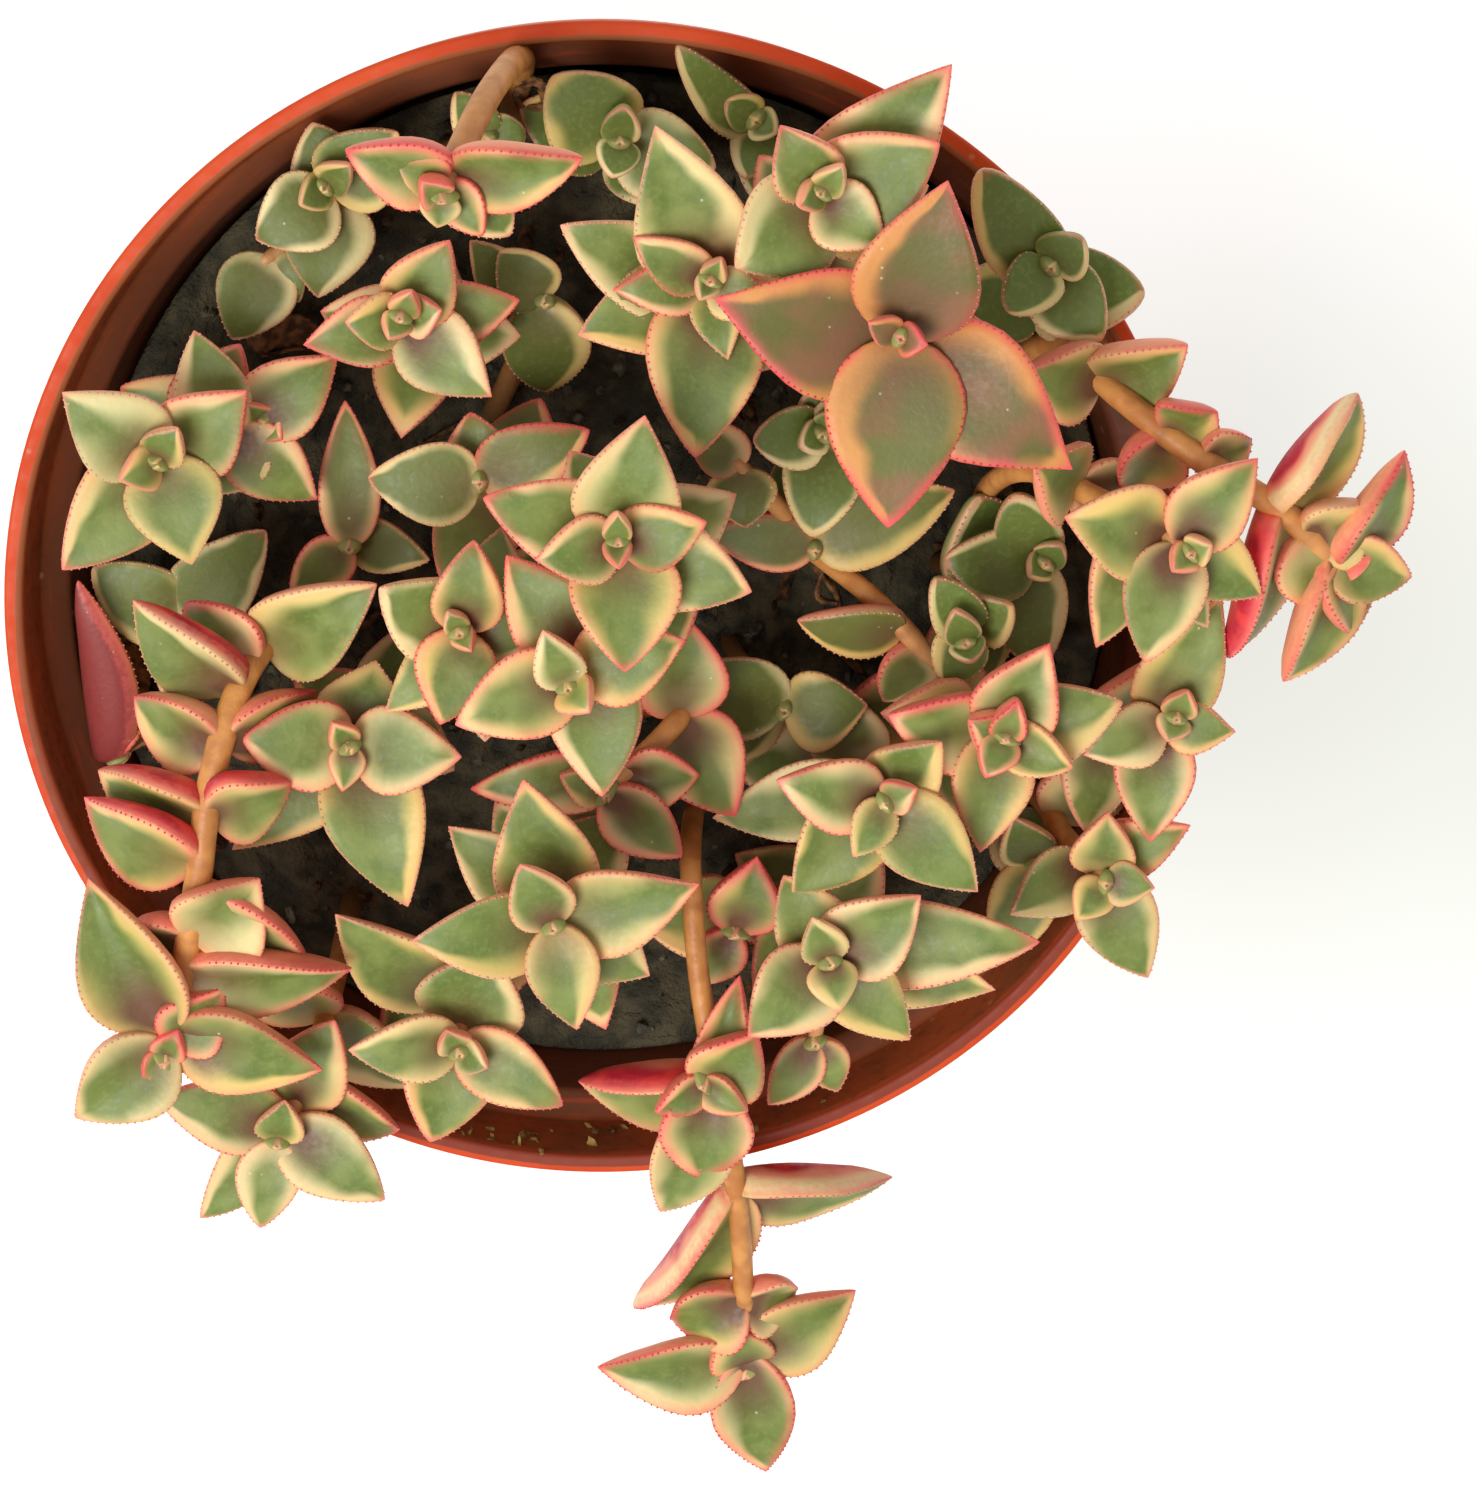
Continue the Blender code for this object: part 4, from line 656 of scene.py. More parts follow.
def turned(vector, axis, angle):
    """The vector turned about the axis by the angle."""
    axis = unit(axis)
    return (vector * math.cos(angle) + np.cross(axis, vector) * math.sin(angle)
            + axis * np.dot(axis, vector) * (1.0 - math.cos(angle)))


def leaf_tries():
    """Small changes of rise, swing and length, the slightest first."""
    tries = []
    for rise in RISES:
        for swing in SWINGS:
            for scale in SCALES:
                cost = RISE_COST * abs(rise) + abs(swing) + SHORTENING_COST * (1.0 - scale)
                tries.append((cost, rise, swing, scale))
    return [row[1:] for row in sorted(tries)]


def planned_leaves(routes):
    """Every leaf as the table gives it, before any is moved clear."""
    leaves = []
    for number, stem in enumerate(STEMS):
        for order, shoot in enumerate(stem.shoots):
            route = routes[number, order]
            faces = unit(np.array(shoot.faces, dtype=float))
            for rank, row in enumerate(shoot.leaves):
                leaf = Leaf(*row)
                base, run = point_below_tip(route, leaf.below * MM)
                tip = spot(leaf.across, leaf.down, shoot.tip[2] + leaf.lift)
                toward = unit(tip - base)
                upward = faces if leaf.below < LEANS_FROM else unit(LEAN * run + np.array(UP))
                level = unit(upward - np.dot(upward, toward) * toward)
                normal = turned(level, toward, math.radians(leaf.roll))
                leaves.append({"owner": number, "order": order, "rank": rank, "base": base, "tip": tip,
                               "normal": normal, "width": leaf.width * MM, "plain": False})
    return leaves


def lower_leaves(routes):
    """Pairs of older leaves down each first shoot's stem, each pair a quarter turn from the last."""
    rng = np.random.default_rng(LOWER_LEAF_SEED)
    leaves = []
    for number, stem in enumerate(STEMS):
        listed = stem.shoots[0].leaves
        turn = rng.uniform(0.0, math.pi)
        for pair in range(stem.lower_pairs):
            below = (max(row[0] for row in listed) + LOWER_LEAF_SPACING * (pair + 1)) * MM
            base, run = point_below_tip(routes[number, 0], below)
            first, second = ring_frame(run)
            for member in range(2):
                wobble = rng.uniform(-1.0, 1.0) * LOWER_LEAF_WOBBLE
                angle = turn + math.pi * (0.5 * pair + member) + wobble
                reach = rng.uniform(*LOWER_LEAF_REACH) * MM
                out = unit(first * math.cos(angle) + second * math.sin(angle) + LOWER_LEAF_LIFT * run)
                normal = unit(run - np.dot(run, out) * out)
                if base[2] > RIM_HEIGHT - SOIL_BELOW_RIM + LOWER_LEAF_FLOOR:
                    leaves.append({"owner": number, "order": 0, "rank": len(listed) + 2 * pair + member,
                                   "base": base, "tip": base + out * reach, "normal": normal,
                                   "width": reach * LOWER_LEAF_BREADTH, "plain": True})
    return leaves


def changed_leaf(leaf, rise, swing, scale):
    """The leaf turned about its base by these degrees and made this much of its size."""
    run = leaf["tip"] - leaf["base"]
    side = np.cross(unit(run), leaf["normal"])
    moved = turned(run * scale, side, math.radians(rise))
    moved = turned(moved, leaf["normal"], math.radians(swing))
    along = unit(moved)
    return dict(leaf, tip=leaf["base"] + moved, width=leaf["width"] * (0.5 + 0.5 * scale),
                normal=unit(leaf["normal"] - np.dot(leaf["normal"], along) * along))


def settled_leaves(routes, fixed):
    """The leaves, highest first, each turned or shortened as little as it takes to miss the others.

    A leaf has to miss everything of another stem, and if it can, the outer halves of its own stem's
    leaves. The few that can't miss another stem are left out.
    """
    taken, outer_halves = Occupied(), Occupied()
    for name, solid in fixed.items():
        taken.add(name, solid)
    for (number, _), route in routes.items():
        taken.add(number, tube(route, STEMS[number].radius * MM + CLEARANCE, STEM_SIDES))
    tries = leaf_tries()
    kept = []
    planned = sorted(planned_leaves(routes), key=lambda one: -one["tip"][2])
    for leaf in planned + lower_leaves(routes):
        owner = leaf["owner"]
        choice = None
        for rise, swing, scale in tries:
            trial = changed_leaf(leaf, rise, swing, scale)
            if taken.hits(owner, leaf_solid(trial, LEAF_ROOM), False):
                continue
            if not outer_halves.hits(owner, leaf_solid(trial, 0.0, 0.5), True):
                choice = trial
                break
            choice = choice or trial
        if choice is not None:
            taken.add(owner, leaf_solid(choice, LEAF_ROOM))
            outer_halves.add(owner, leaf_solid(choice, 0.0, 0.5))
            kept.append(choice)
    return sorted(kept, key=lambda one: (one["owner"], one["order"], one["rank"]))


def wall_radius(height):
    """The pot's outer radius at this height below the rim band: a straight taper."""
    return BASE_RADIUS + (RIM_RADIUS - BAND_STEP - BASE_RADIUS) * height / (RIM_HEIGHT - BAND_DEPTH)


# How finely the surfaces are drawn
LEAF_ROWS = 15
LEAF_COLUMNS = 20
STEM_COLUMNS = 14
STEM_RING_STEP = 0.55 * MM
POT_COLUMNS = 224
POT_STEP = 0.7 * MM
CORNER_POINTS = 5
DRAIN_COLUMNS = 32
SOIL_RINGS = 110
SOIL_COLUMNS = 200
STRIP_COLUMNS = 10
STRIP_STEP = 0.7 * MM

# Seeds of the random draws
LOOKS_SEED = 11
LITTER_SEED = 5
GRIT_SEED = 21
MOUND_SEED = 3
CLOD_SEED = 4
CRUMB_SEED = 5

# The soft blotches of the finishes and the spacing of their dust, in mm, and how deep their grain is
LEAF_BLOTCHES = 3.0
STEM_BLOTCHES = 2.2
POT_BLOTCHES = 7.0
SOIL_BLOTCHES = 2.4
FLOOR_BLOTCHES = 60.0
LEAF_DUST = 1.1
POT_DUST = 2.6
LEAF_GRAIN = 0.05 * MM
STEM_GRAIN = 0.08 * MM
POT_GRAIN = 0.05 * MM
SOIL_GRAIN = 0.35 * MM
# Waves to the metre in a leaf's broad patches, and in the scrapes on the pot's film (x, y and height)
LEAF_PATCHES = 190.0
SCRAPES = (90.0, 90.0, 3200.0)

# The moulded rings inside the collar: mm from one to the next, and mm below the lip where they start
RIDGE_SPACING = 1.3
RIDGES_BELOW_LIP = 0.6

# The ground: the size of its mounds, clods and crumbs, how far from the wall it is level, and how far from
# the wall the loose bits stay
MOUND_SIZE = 17.0 * MM
CLOD_SIZE = 4.2 * MM
CRUMB_SIZE = 1.5 * MM
LEVEL_EDGE = 0.6 * MM
SCATTER_MARGIN = 3.0 * MM

# The loose bits: their shape as shares of their size (length, width, height), their least and their most
# size, and how deep they lie in the ground (below 0: on it)
STONE_SHAPE = (1.0, 0.85, 0.65)
STONE_SIZES = (0.2 * MM, 1.7 * MM)
STONE_MIDDLE_SIZE = 0.55 * MM
STONE_SPREAD = 0.45
STONE_SUNK = 0.1 * MM
BARK_SHAPE = (1.7, 0.6, 0.35)
BARK_SIZES = (0.6 * MM, 1.5 * MM)
BARK_SUNK = -0.1 * MM
FLAKE_SHAPE = (1.6, 0.9, 0.35)
FLAKE_SIZES = (0.25 * MM, 0.55 * MM)

# Along a stem: how far the swelling and the scar at a pair reach, the thinner end and the fresh end
SWELLING_REACH = 0.9 * MM
SCAR_REACH = 0.30 * MM
THIN_END = 4.0 * MM
FRESH_END = 9.0 * MM

# The camera's picture and film, the floor, the lamp and the colour of the sky
IMAGE_HEIGHT = 1497
SENSOR_HEIGHT_MM = 36.0
FLOOR_REACH = 2.5
LAMP_PLACE = (-0.36, -0.22, 0.92)
LAMP_SIZE = 0.55
SKY_COLOUR = (1.0, 0.995, 0.98, 1.0)
# The two soft shades on the floor: how its coordinates are stretched, the middle of the shade in them, and
# how far from there the shade starts and is full (m)
SHADE_BESIDE_POT = ((0.55, 1.0, 0.0), (0.052, -0.034, 0.0), 0.085, 0.0)
SHADE_ROUND_POT = ((1.0, 1.0, 0.0), (0.0, -0.016, 0.0), 0.054, 0.034)

# What a tone of leaf looks like: how wide its cream border is (share of the half width), how blushed the
# border is, how dull its middle is, how strong the purple-brown at its base is (the leaf's own flush, and
# painted shade where the pair meets), how red its underside is, how steeply its sides fold up, how plump it
# is, and how pointed its outline is
Tone = namedtuple("Tone", "cream blush dull flush under fold plump point")
LEAF_TONES = {
    "sage": Tone(0.23, 0.48, 0.06, 0.75, 0.35, 0.18, 1.00, 1.00),
    "green": Tone(0.10, 0.15, 0.04, 0.15, 0.10, 0.14, 1.00, 0.66),
    "dark": Tone(0.12, 0.22, 0.30, 0.25, 0.20, 0.16, 0.90, 0.85),
    "olive": Tone(0.15, 0.55, 0.42, 0.40, 0.50, 0.14, 0.90, 0.90),
    "pink": Tone(0.27, 0.75, 0.12, 0.75, 0.45, 0.42, 1.35, 1.00),
    "old": Tone(0.15, 0.90, 0.90, 0.60, 0.65, 0.12, 0.85, 1.05),
    "red": Tone(0.30, 1.00, 0.90, 1.00, 1.00, 0.30, 1.30, 0.90),
}
OLIVE_STEMS = ("leafy_stem_middle_north", "leafy_stem_middle_east", "leafy_stem_brown")
# How far a leaf's cream, blush, dull, base flush and shade, and under may lie from its stem's tone, as a
# share
TONE_SPREAD = (0.30, 0.55, 0.30, 0.70, 0.30)
# The least and the most of each leaf's own bends, drawn in this order (the twist in degrees)
LEAF_BENDS = {"cup": (0.6, 1.4), "curve": (-0.10, 0.16), "sway": (-0.10, 0.10), "twist": (-12.0, 12.0),
              "wave": (0.0, 0.05), "phase": (0.0, 2.0 * math.pi), "point": (0.85, 1.12)}
LEAF_PEAK = 0.72
LEAF_TAPER = 0.90
LEAF_NECK = 0.20
# Leaves of a stem's first shoot whose underside is redder or paler than their stem's tone: each leaf's number
# in its row, and how red it is (over 1.2: along its keel rather than at its edge)
SUNNED = {
    "leafy_stem_front_trailing": {8: 1.6, 9: 1.6, 10: 1.0},
    "leafy_stem_west_trailing": {10: 0.9, 11: 0.9, 12: 1.0, 13: 0.2, 15: 1.0},
    "leafy_stem_east_trailing": {2: 0.35, 3: 0.35, 8: 1.8, 9: 1.15},
}
BUD_LENGTH = 1.9 * MM
BUD_WIDTH = 1.4 * MM
BUD_OPENING = 0.22
BUD_PALENESS = 0.4

# The raised dots: the shortest leaf that has them, where their row starts and ends along it, and the angle
# round the leaf's section that they stand at
DOTTED_LENGTH = 5.0 * MM
DOTS_FROM = 0.10
DOTS_TO = 0.975
DOT_ANGLE = 0.30

# Dry litter: what it is of, its width and thickness in mm, and its route as (across, down, mm above rim) in
# the view
Litter = namedtuple("Litter", "kind width thickness route")
LITTER = (
    Litter("paper", 3.2, 0.35, ((118, 640, -10), (136, 676, -9), (126, 712, -10), (142, 745, -11))),
    Litter("paper", 1.8, 0.3, ((146, 650, -10), (120, 690, -8.5), (148, 722, -10))),
    Litter("bark", 3.0, 0.5, ((248, 344, -11), (285, 330, -10.5), (322, 338, -11))),
    Litter("bark", 2.0, 0.4, ((262, 356, -11.5), (300, 348, -11), (330, 356, -11.5))),
    Litter("bark", 0.8, 0.7, ((512, 78, -6), (542, 84, -5), (545, 104, -6), (524, 108, -7), (516, 92, -6),
                              (536, 82, -5))),
    Litter("bark", 0.7, 0.6, ((540, 90, -6), (548, 118, -8), (538, 140, -9), (546, 160, -11))),
    Litter("paper", 2.2, 0.4, ((520, 352, -10), (545, 372, -9), (548, 392, -10.5))),
    Litter("bark", 1.5, 0.6, ((812, 566, -10), (832, 586, -9.5), (842, 612, -10.5))),
    Litter("bark", 1.0, 0.5, ((826, 560, -9), (818, 596, -10), (838, 604, -9.5))),
)
# Flakes of dried soil on the inside of the collar: how many, and the stretch of the view that they lie in
WALL_FLAKES = (
    (16, (462, 566), (1128, 1152)),
    (6, (590, 612), (1126, 1146)),
    (9, (600, 850), (1090, 1135)),
)
# What lies loose: its dark and its pale colour, the size of its blotches in mm, and how deep its grain is
LOOSE_FINISHES = {
    "dry_paper": ((104, 70, 36), (196, 148, 84), 1.6, 0.1 * MM),
    "dry_bark": ((70, 46, 28), (140, 98, 58), 1.2, 0.15 * MM),
    "dried_flakes": ((96, 74, 36), (150, 124, 66), 0.8, 0.1 * MM),
    "grit_stone": ((48, 47, 38), (104, 98, 78), 1.6, 0.15 * MM),
    "bark_bits": ((40, 28, 18), (104, 74, 42), 1.2, 0.2 * MM),
}


def seen(red, green, blue):
    """A colour as a screen shows it, 0 to 255, made linear."""
    shares = np.array([red, green, blue]) / 255.0
    linear = np.where(shares <= 0.04045, shares / 12.92, ((shares + 0.055) / 1.055) ** 2.4)
    return tuple(float(value) for value in linear)


@functools.lru_cache(maxsize=None)
def plant():
    """The stems' routes and the settled leaves, worked out once as they were for the solids."""
    fixed = {}
    for name in ("pot", "soil"):
        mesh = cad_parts[name].data
        points = np.zeros(len(mesh.vertices) * 3)
        mesh.vertices.foreach_get("co", points)
        fixed[name] = (points.reshape(-1, 3), [tuple(polygon.vertices) for polygon in mesh.polygons])
    routes = all_routes()
    return routes, settled_leaves(routes, fixed)


def grid_faces(rows, columns):
    """Quads of a tube of rows by columns points, and the fans to the two end points that follow them."""
    row, column = np.meshgrid(np.arange(rows - 1), np.arange(columns), indexing="ij")
    after = (column + 1) % columns
    quads = np.stack([row * columns + column, (row + 1) * columns + column,
                      (row + 1) * columns + after, row * columns + after], axis=-1).reshape(-1, 4)
    side = np.arange(columns)
    turned_side = (side + 1) % columns
    low = np.stack([np.full(columns, rows * columns), side, turned_side], axis=-1)
    last = (rows - 1) * columns
    high = np.stack([np.full(columns, rows * columns + 1), last + turned_side, last + side], axis=-1)
    return quads, np.concatenate([low, high])


def repeated(faces, copies, points_each):
    """The same faces for each copy, with the points counted on."""
    offsets = np.arange(copies)[:, None, None] * points_each
    return (faces[None] + offsets).reshape(-1, faces.shape[1])


def write_attribute(mesh, label, values):
    """A vector for each of the mesh's points, under this name."""
    layer = mesh.attributes.new(label, "FLOAT_VECTOR", "POINT")
    layer.data.foreach_set("vector", values.astype(np.float32).ravel())


def new_piece(name, points, faces, finishes, attributes=None, shares=None, smooth=True):
    """A mesh object at the origin from arrays of points and faces.

    Attributes are arrays with a vector for each point. Shares give the material's number for each face.
    """
    mesh = bpy.data.meshes.new(name)
    lists = [face for group in faces for face in group.tolist()]
    mesh.from_pydata(points.tolist(), [], lists)
    for finish in finishes:
        mesh.materials.append(finish)
    if shares is not None:
        mesh.polygons.foreach_set("material_index", shares.astype(np.int32))
    if smooth:
        mesh.polygons.foreach_set("use_smooth", np.ones(len(mesh.polygons), dtype=bool))
    for label, values in (attributes or {}).items():
        write_attribute(mesh, label, values)
    mesh.update()
    made = bpy.data.objects.new(name, mesh)
    bpy.context.scene.collection.objects.link(made)
    return made


def stand_for(piece, slot, *nodes):
    """Puts a piece on the body, in place of the model's solids that it stands for."""
    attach(piece, "root")
    if nodes:
        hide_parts(*nodes)


class Nodes:
    """Adds nodes to one tree, and gives the sockets that carry their results."""

    def __init__(self, tree):
        """Takes the tree that the nodes go into."""
        self.tree = tree

    def feed(self, target, value):
        """Links a socket to the target, or gives the target a value of its own."""
        if isinstance(value, bpy.types.NodeSocket):
            self.tree.links.new(value, target)
        elif target.type == "RGBA":
            target.default_value = (*value[:3], 1.0)
        else:
            target.default_value = value

    def node(self, kind, inputs=None, **settings):
        """A new node with these settings and inputs."""
        made = self.tree.nodes.new(kind)
        for name, value in settings.items():
            setattr(made, name, value)
        for name, value in (inputs or {}).items():
            self.feed(made.inputs[name], value)
        return made

    def math(self, operation, *values, clamp=False):
        """The result of one operation on these values."""
        made = self.node("ShaderNodeMath", operation=operation, use_clamp=clamp)
        for target, value in zip(made.inputs, values):
            self.feed(target, value)
        return made.outputs[0]

    def times(self, *values):
        """All the values multiplied."""
        result = values[0]
        for value in values[1:]:
            result = self.math("MULTIPLY", result, value)
        return result

    def step(self, value, low, high, start=0.0, end=1.0):
        """A smooth change from start to end while the value goes from low to high."""
        made = self.node("ShaderNodeMapRange", interpolation_type="SMOOTHSTEP")
        for name, entry in (("Value", value), ("From Min", low), ("From Max", high),
                            ("To Min", start), ("To Max", end)):
            self.feed(made.inputs[name], entry)
        return made.outputs[0]

    def blend(self, share, first, second):
        """The first colour with this share of the second over it."""
        made = self.node("ShaderNodeMix", data_type="RGBA")
        self.feed(made.inputs[0], share)
        self.feed(made.inputs[6], first)
        self.feed(made.inputs[7], second)
        return made.outputs[2]

    def noise(self, scale, detail, roughness=0.5, vector=None):
        """Soft noise from 0 to 1, on the piece's own coordinates where no others are given."""
        place = vector if vector is not None else self.place()
        made = self.node("ShaderNodeTexNoise", {"Vector": place, "Scale": scale, "Detail": detail,
                                                "Roughness": roughness})
        return made.outputs["Fac"]

    def place(self):
        """The piece's own coordinates."""
        return self.node("ShaderNodeTexCoord").outputs["Object"]

    def vector(self, label):
        """The x, y and z of a mesh attribute."""
        source = self.node("ShaderNodeAttribute", attribute_name=label, attribute_type="GEOMETRY")
        return self.node("ShaderNodeSeparateXYZ", {"Vector": source.outputs["Vector"]}).outputs

    def relief(self, height, distance, strength):
        """A normal that follows this height."""
        return self.node("ShaderNodeBump", {"Height": height, "Distance": distance,
                                            "Strength": strength}).outputs["Normal"]


def new_group(label, inputs, outputs):
    """An empty node group with these sockets: {name: (kind, default)} in and {name: kind} out.

    Gives it, its nodes, the sockets that carry what it is given and the ones that take what it gives.
    """
    group = bpy.data.node_groups.new(label, "ShaderNodeTree")
    for name, (kind, default) in inputs.items():
        socket = group.interface.new_socket(name, in_out="INPUT", socket_type=kind)
        socket.default_value = default
    for name, kind in outputs.items():
        group.interface.new_socket(name, in_out="OUTPUT", socket_type=kind)
    nodes = Nodes(group)
    return group, nodes, nodes.node("NodeGroupInput").outputs, nodes.node("NodeGroupOutput").inputs


@functools.lru_cache(maxsize=None)
def mottle_group():
    """Soft blotches and fine grain: noise of Size, and of a fifth of it."""
    group, nodes, given, wanted = new_group(
        "soft_mottle", {"Size mm": ("NodeSocketFloat", 4.0)},
        {"Blotches": "NodeSocketFloat", "Grain": "NodeSocketFloat"})
    scale = nodes.math("DIVIDE", 1000.0, given["Size mm"])
    nodes.feed(wanted["Blotches"], nodes.noise(scale, 1.0))
    nodes.feed(wanted["Grain"], nodes.noise(nodes.times(scale, 5.0), 1.0, 0.6))
    return group


@functools.lru_cache(maxsize=None)
def dust_group():
    """Pale specks of dust: a small spot in some cells of a pattern, and in more of them for more Amount."""
    group, nodes, given, wanted = new_group(
        "dust_specks", {"Spacing mm": ("NodeSocketFloat", 1.4), "Amount": ("NodeSocketFloat", 0.5)},
        {"Mask": "NodeSocketFloat"})
    scale = nodes.math("DIVIDE", 1000.0, given["Spacing mm"])
    cells = nodes.node("ShaderNodeTexVoronoi", {"Vector": nodes.place(), "Scale": scale})
    spots = nodes.step(cells.outputs["Distance"], 0.16, 0.07)
    chosen = nodes.node("ShaderNodeSeparateColor", {"Color": cells.outputs["Color"]}).outputs[0]
    kept = nodes.step(chosen, nodes.math("SUBTRACT", 1.0, given["Amount"]), 1.0)
    nodes.feed(wanted["Mask"], nodes.times(spots, kept))
    return group


def placed(nodes, group, **values):
    """A node group placed in a material with its own values. Gives its outputs."""
    made = nodes.node("ShaderNodeGroup", node_tree=group)
    for name, value in values.items():
        nodes.feed(made.inputs[name.replace("_", " ")], value)
    return made.outputs


def feed_shader(nodes, shader, colour, roughness, normal):
    """Gives the shader its colour, its roughness and its normal."""
    for label, value in (("Base Color", colour), ("Roughness", roughness), ("Normal", normal)):
        nodes.feed(shader.inputs[label], value)


def new_finish(label, **sockets):
    """A material with one Principled shader. Gives it, its nodes and the shader."""
    made = bpy.data.materials.new(label)
    made.use_nodes = True
    nodes = Nodes(made.node_tree)
    shader = made.node_tree.nodes["Principled BSDF"]
    for name, value in sockets.items():
        shader.inputs[name.replace("_", " ")].default_value = value
    return made, nodes, shader


LeafValues = namedtuple("LeafValues", "across along side to_edge edge_share cream blush dull flush sunned "
                        "chance blotch grain broad shaded veiled line rim")


def leaf_values(nodes, looks):
    """What a leaf's colours depend on: the place on it, its tone, its patches and its edge line."""
    across, along, side = nodes.vector("leaf_place")
    to_edge, edge_share, _ = nodes.vector("leaf_edge")
    cream, blush, dull = nodes.vector("leaf_tone")
    # The purple-brown base (the leaf's own flush and painted shade), the sunned red, and a chance of its own
    flush, sunned, chance = nodes.vector("leaf_skin")
    mottle = placed(nodes, mottle_group(), Size_mm=LEAF_BLOTCHES)
    blotch, grain = mottle["Blotches"], mottle["Grain"]
    broad = nodes.math("SUBTRACT", nodes.noise(LEAF_PATCHES, 1.0), 0.5)
    shaded = nodes.math("FRACT", nodes.times(chance, 7.3))
    veiled = nodes.step(dull, 0.50, 0.85)
    line = nodes.step(nodes.math("MULTIPLY_ADD", grain, 0.30, to_edge), 0.50, 0.14)
    line = nodes.times(line, nodes.step(edge_share, 0.45, 0.15))
    rim = nodes.blend(nodes.step(blush, 0.20, 0.80), looks.edge_soft, looks.edge_strong)
    return LeafValues(across, along, side, to_edge, edge_share, cream, blush, dull, flush, sunned,
                      chance, blotch, grain, broad, shaded, veiled, line, rim)


def leaf_middle(nodes, looks, at):
    """The sage middle: greener where there is little cream, and dull and veiled on an old leaf."""
    sage = nodes.blend(nodes.step(at.blotch, 0.25, 0.75), looks.sage_deep, looks.sage_pale)
    sage = nodes.blend(nodes.step(at.cream, 0.20, 0.09), sage, looks.sage_green)
    sage = nodes.blend(nodes.times(at.shaded, 0.55), sage, looks.sage_deep)
    sage = nodes.blend(nodes.step(at.grain, 0.45, 0.75, 0.0, 0.35), sage, looks.sage_pale)
    sage = nodes.blend(at.dull, sage, looks.sage_old)
    return nodes.blend(nodes.times(at.veiled, nodes.step(at.broad, -0.14, 0.14), 0.80), sage, looks.veil)


def leaf_border(nodes, looks, at):
    """The soft cream border: yellower on some leaves, peach near a blushed edge, amber on an old leaf."""
    border = nodes.blend(nodes.step(at.chance, 0.15, 0.85), looks.cream, looks.yellow)
    border = nodes.blend(nodes.times(at.shaded, 0.45), border, looks.sage_pale)
    border = nodes.blend(nodes.times(at.blush, nodes.step(at.to_edge, 1.9, 0.1)), border, looks.peach)
    return nodes.blend(at.veiled, border, looks.amber)


def bordered_skin(nodes, looks, at):
    """The middle within its border, which is wider near the base and on one side of each leaf."""
    lean = nodes.math("MULTIPLY_ADD", nodes.math("FRACT", nodes.times(at.chance, 17.0)), 0.7, -0.35)
    uneven = nodes.math("MULTIPLY_ADD", lean, at.across, at.edge_share)
    uneven = nodes.math("MULTIPLY_ADD", at.broad, 0.7, uneven)
    width = nodes.times(at.cream, nodes.step(at.along, 0.15, 0.95, 1.7, 0.35))
    middle = nodes.step(uneven, nodes.times(width, 0.05), nodes.math("MULTIPLY_ADD", width, 1.8, 0.055))
    return nodes.blend(middle, leaf_border(nodes, looks, at), leaf_middle(nodes, looks, at))


def leaf_face(nodes, looks, at):
    """The upper side: its skin, the patchy edge line, the glow and the point, and the purple-brown base,
    which is the leaf's own flush and painted shade where the pair meets.
    """
    skin = bordered_skin(nodes, looks, at)
    patchy = nodes.math("MULTIPLY_ADD", at.blush, 0.6, at.broad)
    patchy = nodes.step(nodes.math("MULTIPLY_ADD", at.along, 0.25, patchy), 0.02, 0.50, 0.15, 0.95)
    skin = nodes.blend(nodes.times(at.line, patchy, 0.85), skin, at.rim)
    glow = nodes.times(nodes.step(at.to_edge, 1.3, 0.1), nodes.step(at.blush, 0.35, 1.1, 0.0, 0.7))
    skin = nodes.blend(nodes.times(glow, nodes.step(at.broad, -0.15, 0.12)), skin, looks.edge_strong)
    tinted = nodes.math("MULTIPLY_ADD", at.blush, 0.8, 0.1, clamp=True)
    skin = nodes.blend(nodes.times(nodes.step(at.along, 0.90, 1.0), tinted), skin, looks.edge_strong)
    # Painted shade and the leaf's own flush: purple-brown at the base near the midline, where the pair meets
    aside = nodes.math("ADD", nodes.math("ABSOLUTE", at.across), at.broad)
    base = nodes.times(nodes.step(at.along, 0.62, 0.08), nodes.step(aside, 1.0, 0.15), 1.25)
    return nodes.blend(nodes.math("MULTIPLY", base, at.flush, clamp=True), skin, looks.plum)


def leaf_underside(nodes, looks, at):
    """The underside: green to rosy, pale at the edge, and crimson on the leaves that the sun reaches."""
    rosy = nodes.step(nodes.math("MULTIPLY_ADD", at.blotch, 0.3, at.sunned), 0.20, 0.45)
    below = nodes.blend(rosy, looks.under_green, looks.under_pale)
    along_keel = nodes.step(at.sunned, 1.2, 1.5)
    pale = nodes.blend(along_keel, looks.peach, looks.cream)
    below = nodes.blend(nodes.times(rosy, nodes.step(at.edge_share, 0.18, 0.02)), below, pale)
    spread = nodes.math("MULTIPLY_ADD", at.broad, 0.9, at.edge_share)
    outer = nodes.blend(along_keel, nodes.step(spread, 0.80, 0.10), nodes.step(spread, 0.12, 0.42))
    dusky = nodes.step(at.dull, 0.45, 0.8)
    outer = nodes.math("MAXIMUM", outer, dusky)
    crimson = nodes.blend(nodes.step(at.blotch, 0.46, 0.66), looks.under_red, looks.under_bright)
    crimson = nodes.blend(dusky, crimson, looks.under_dusky)
    below = nodes.blend(nodes.times(nodes.step(at.sunned, 0.30, 0.9), outer), below, crimson)
    return nodes.blend(nodes.times(at.line, nodes.step(at.sunned, 0.0, 0.5, 0.1, 0.6)), below, at.rim)


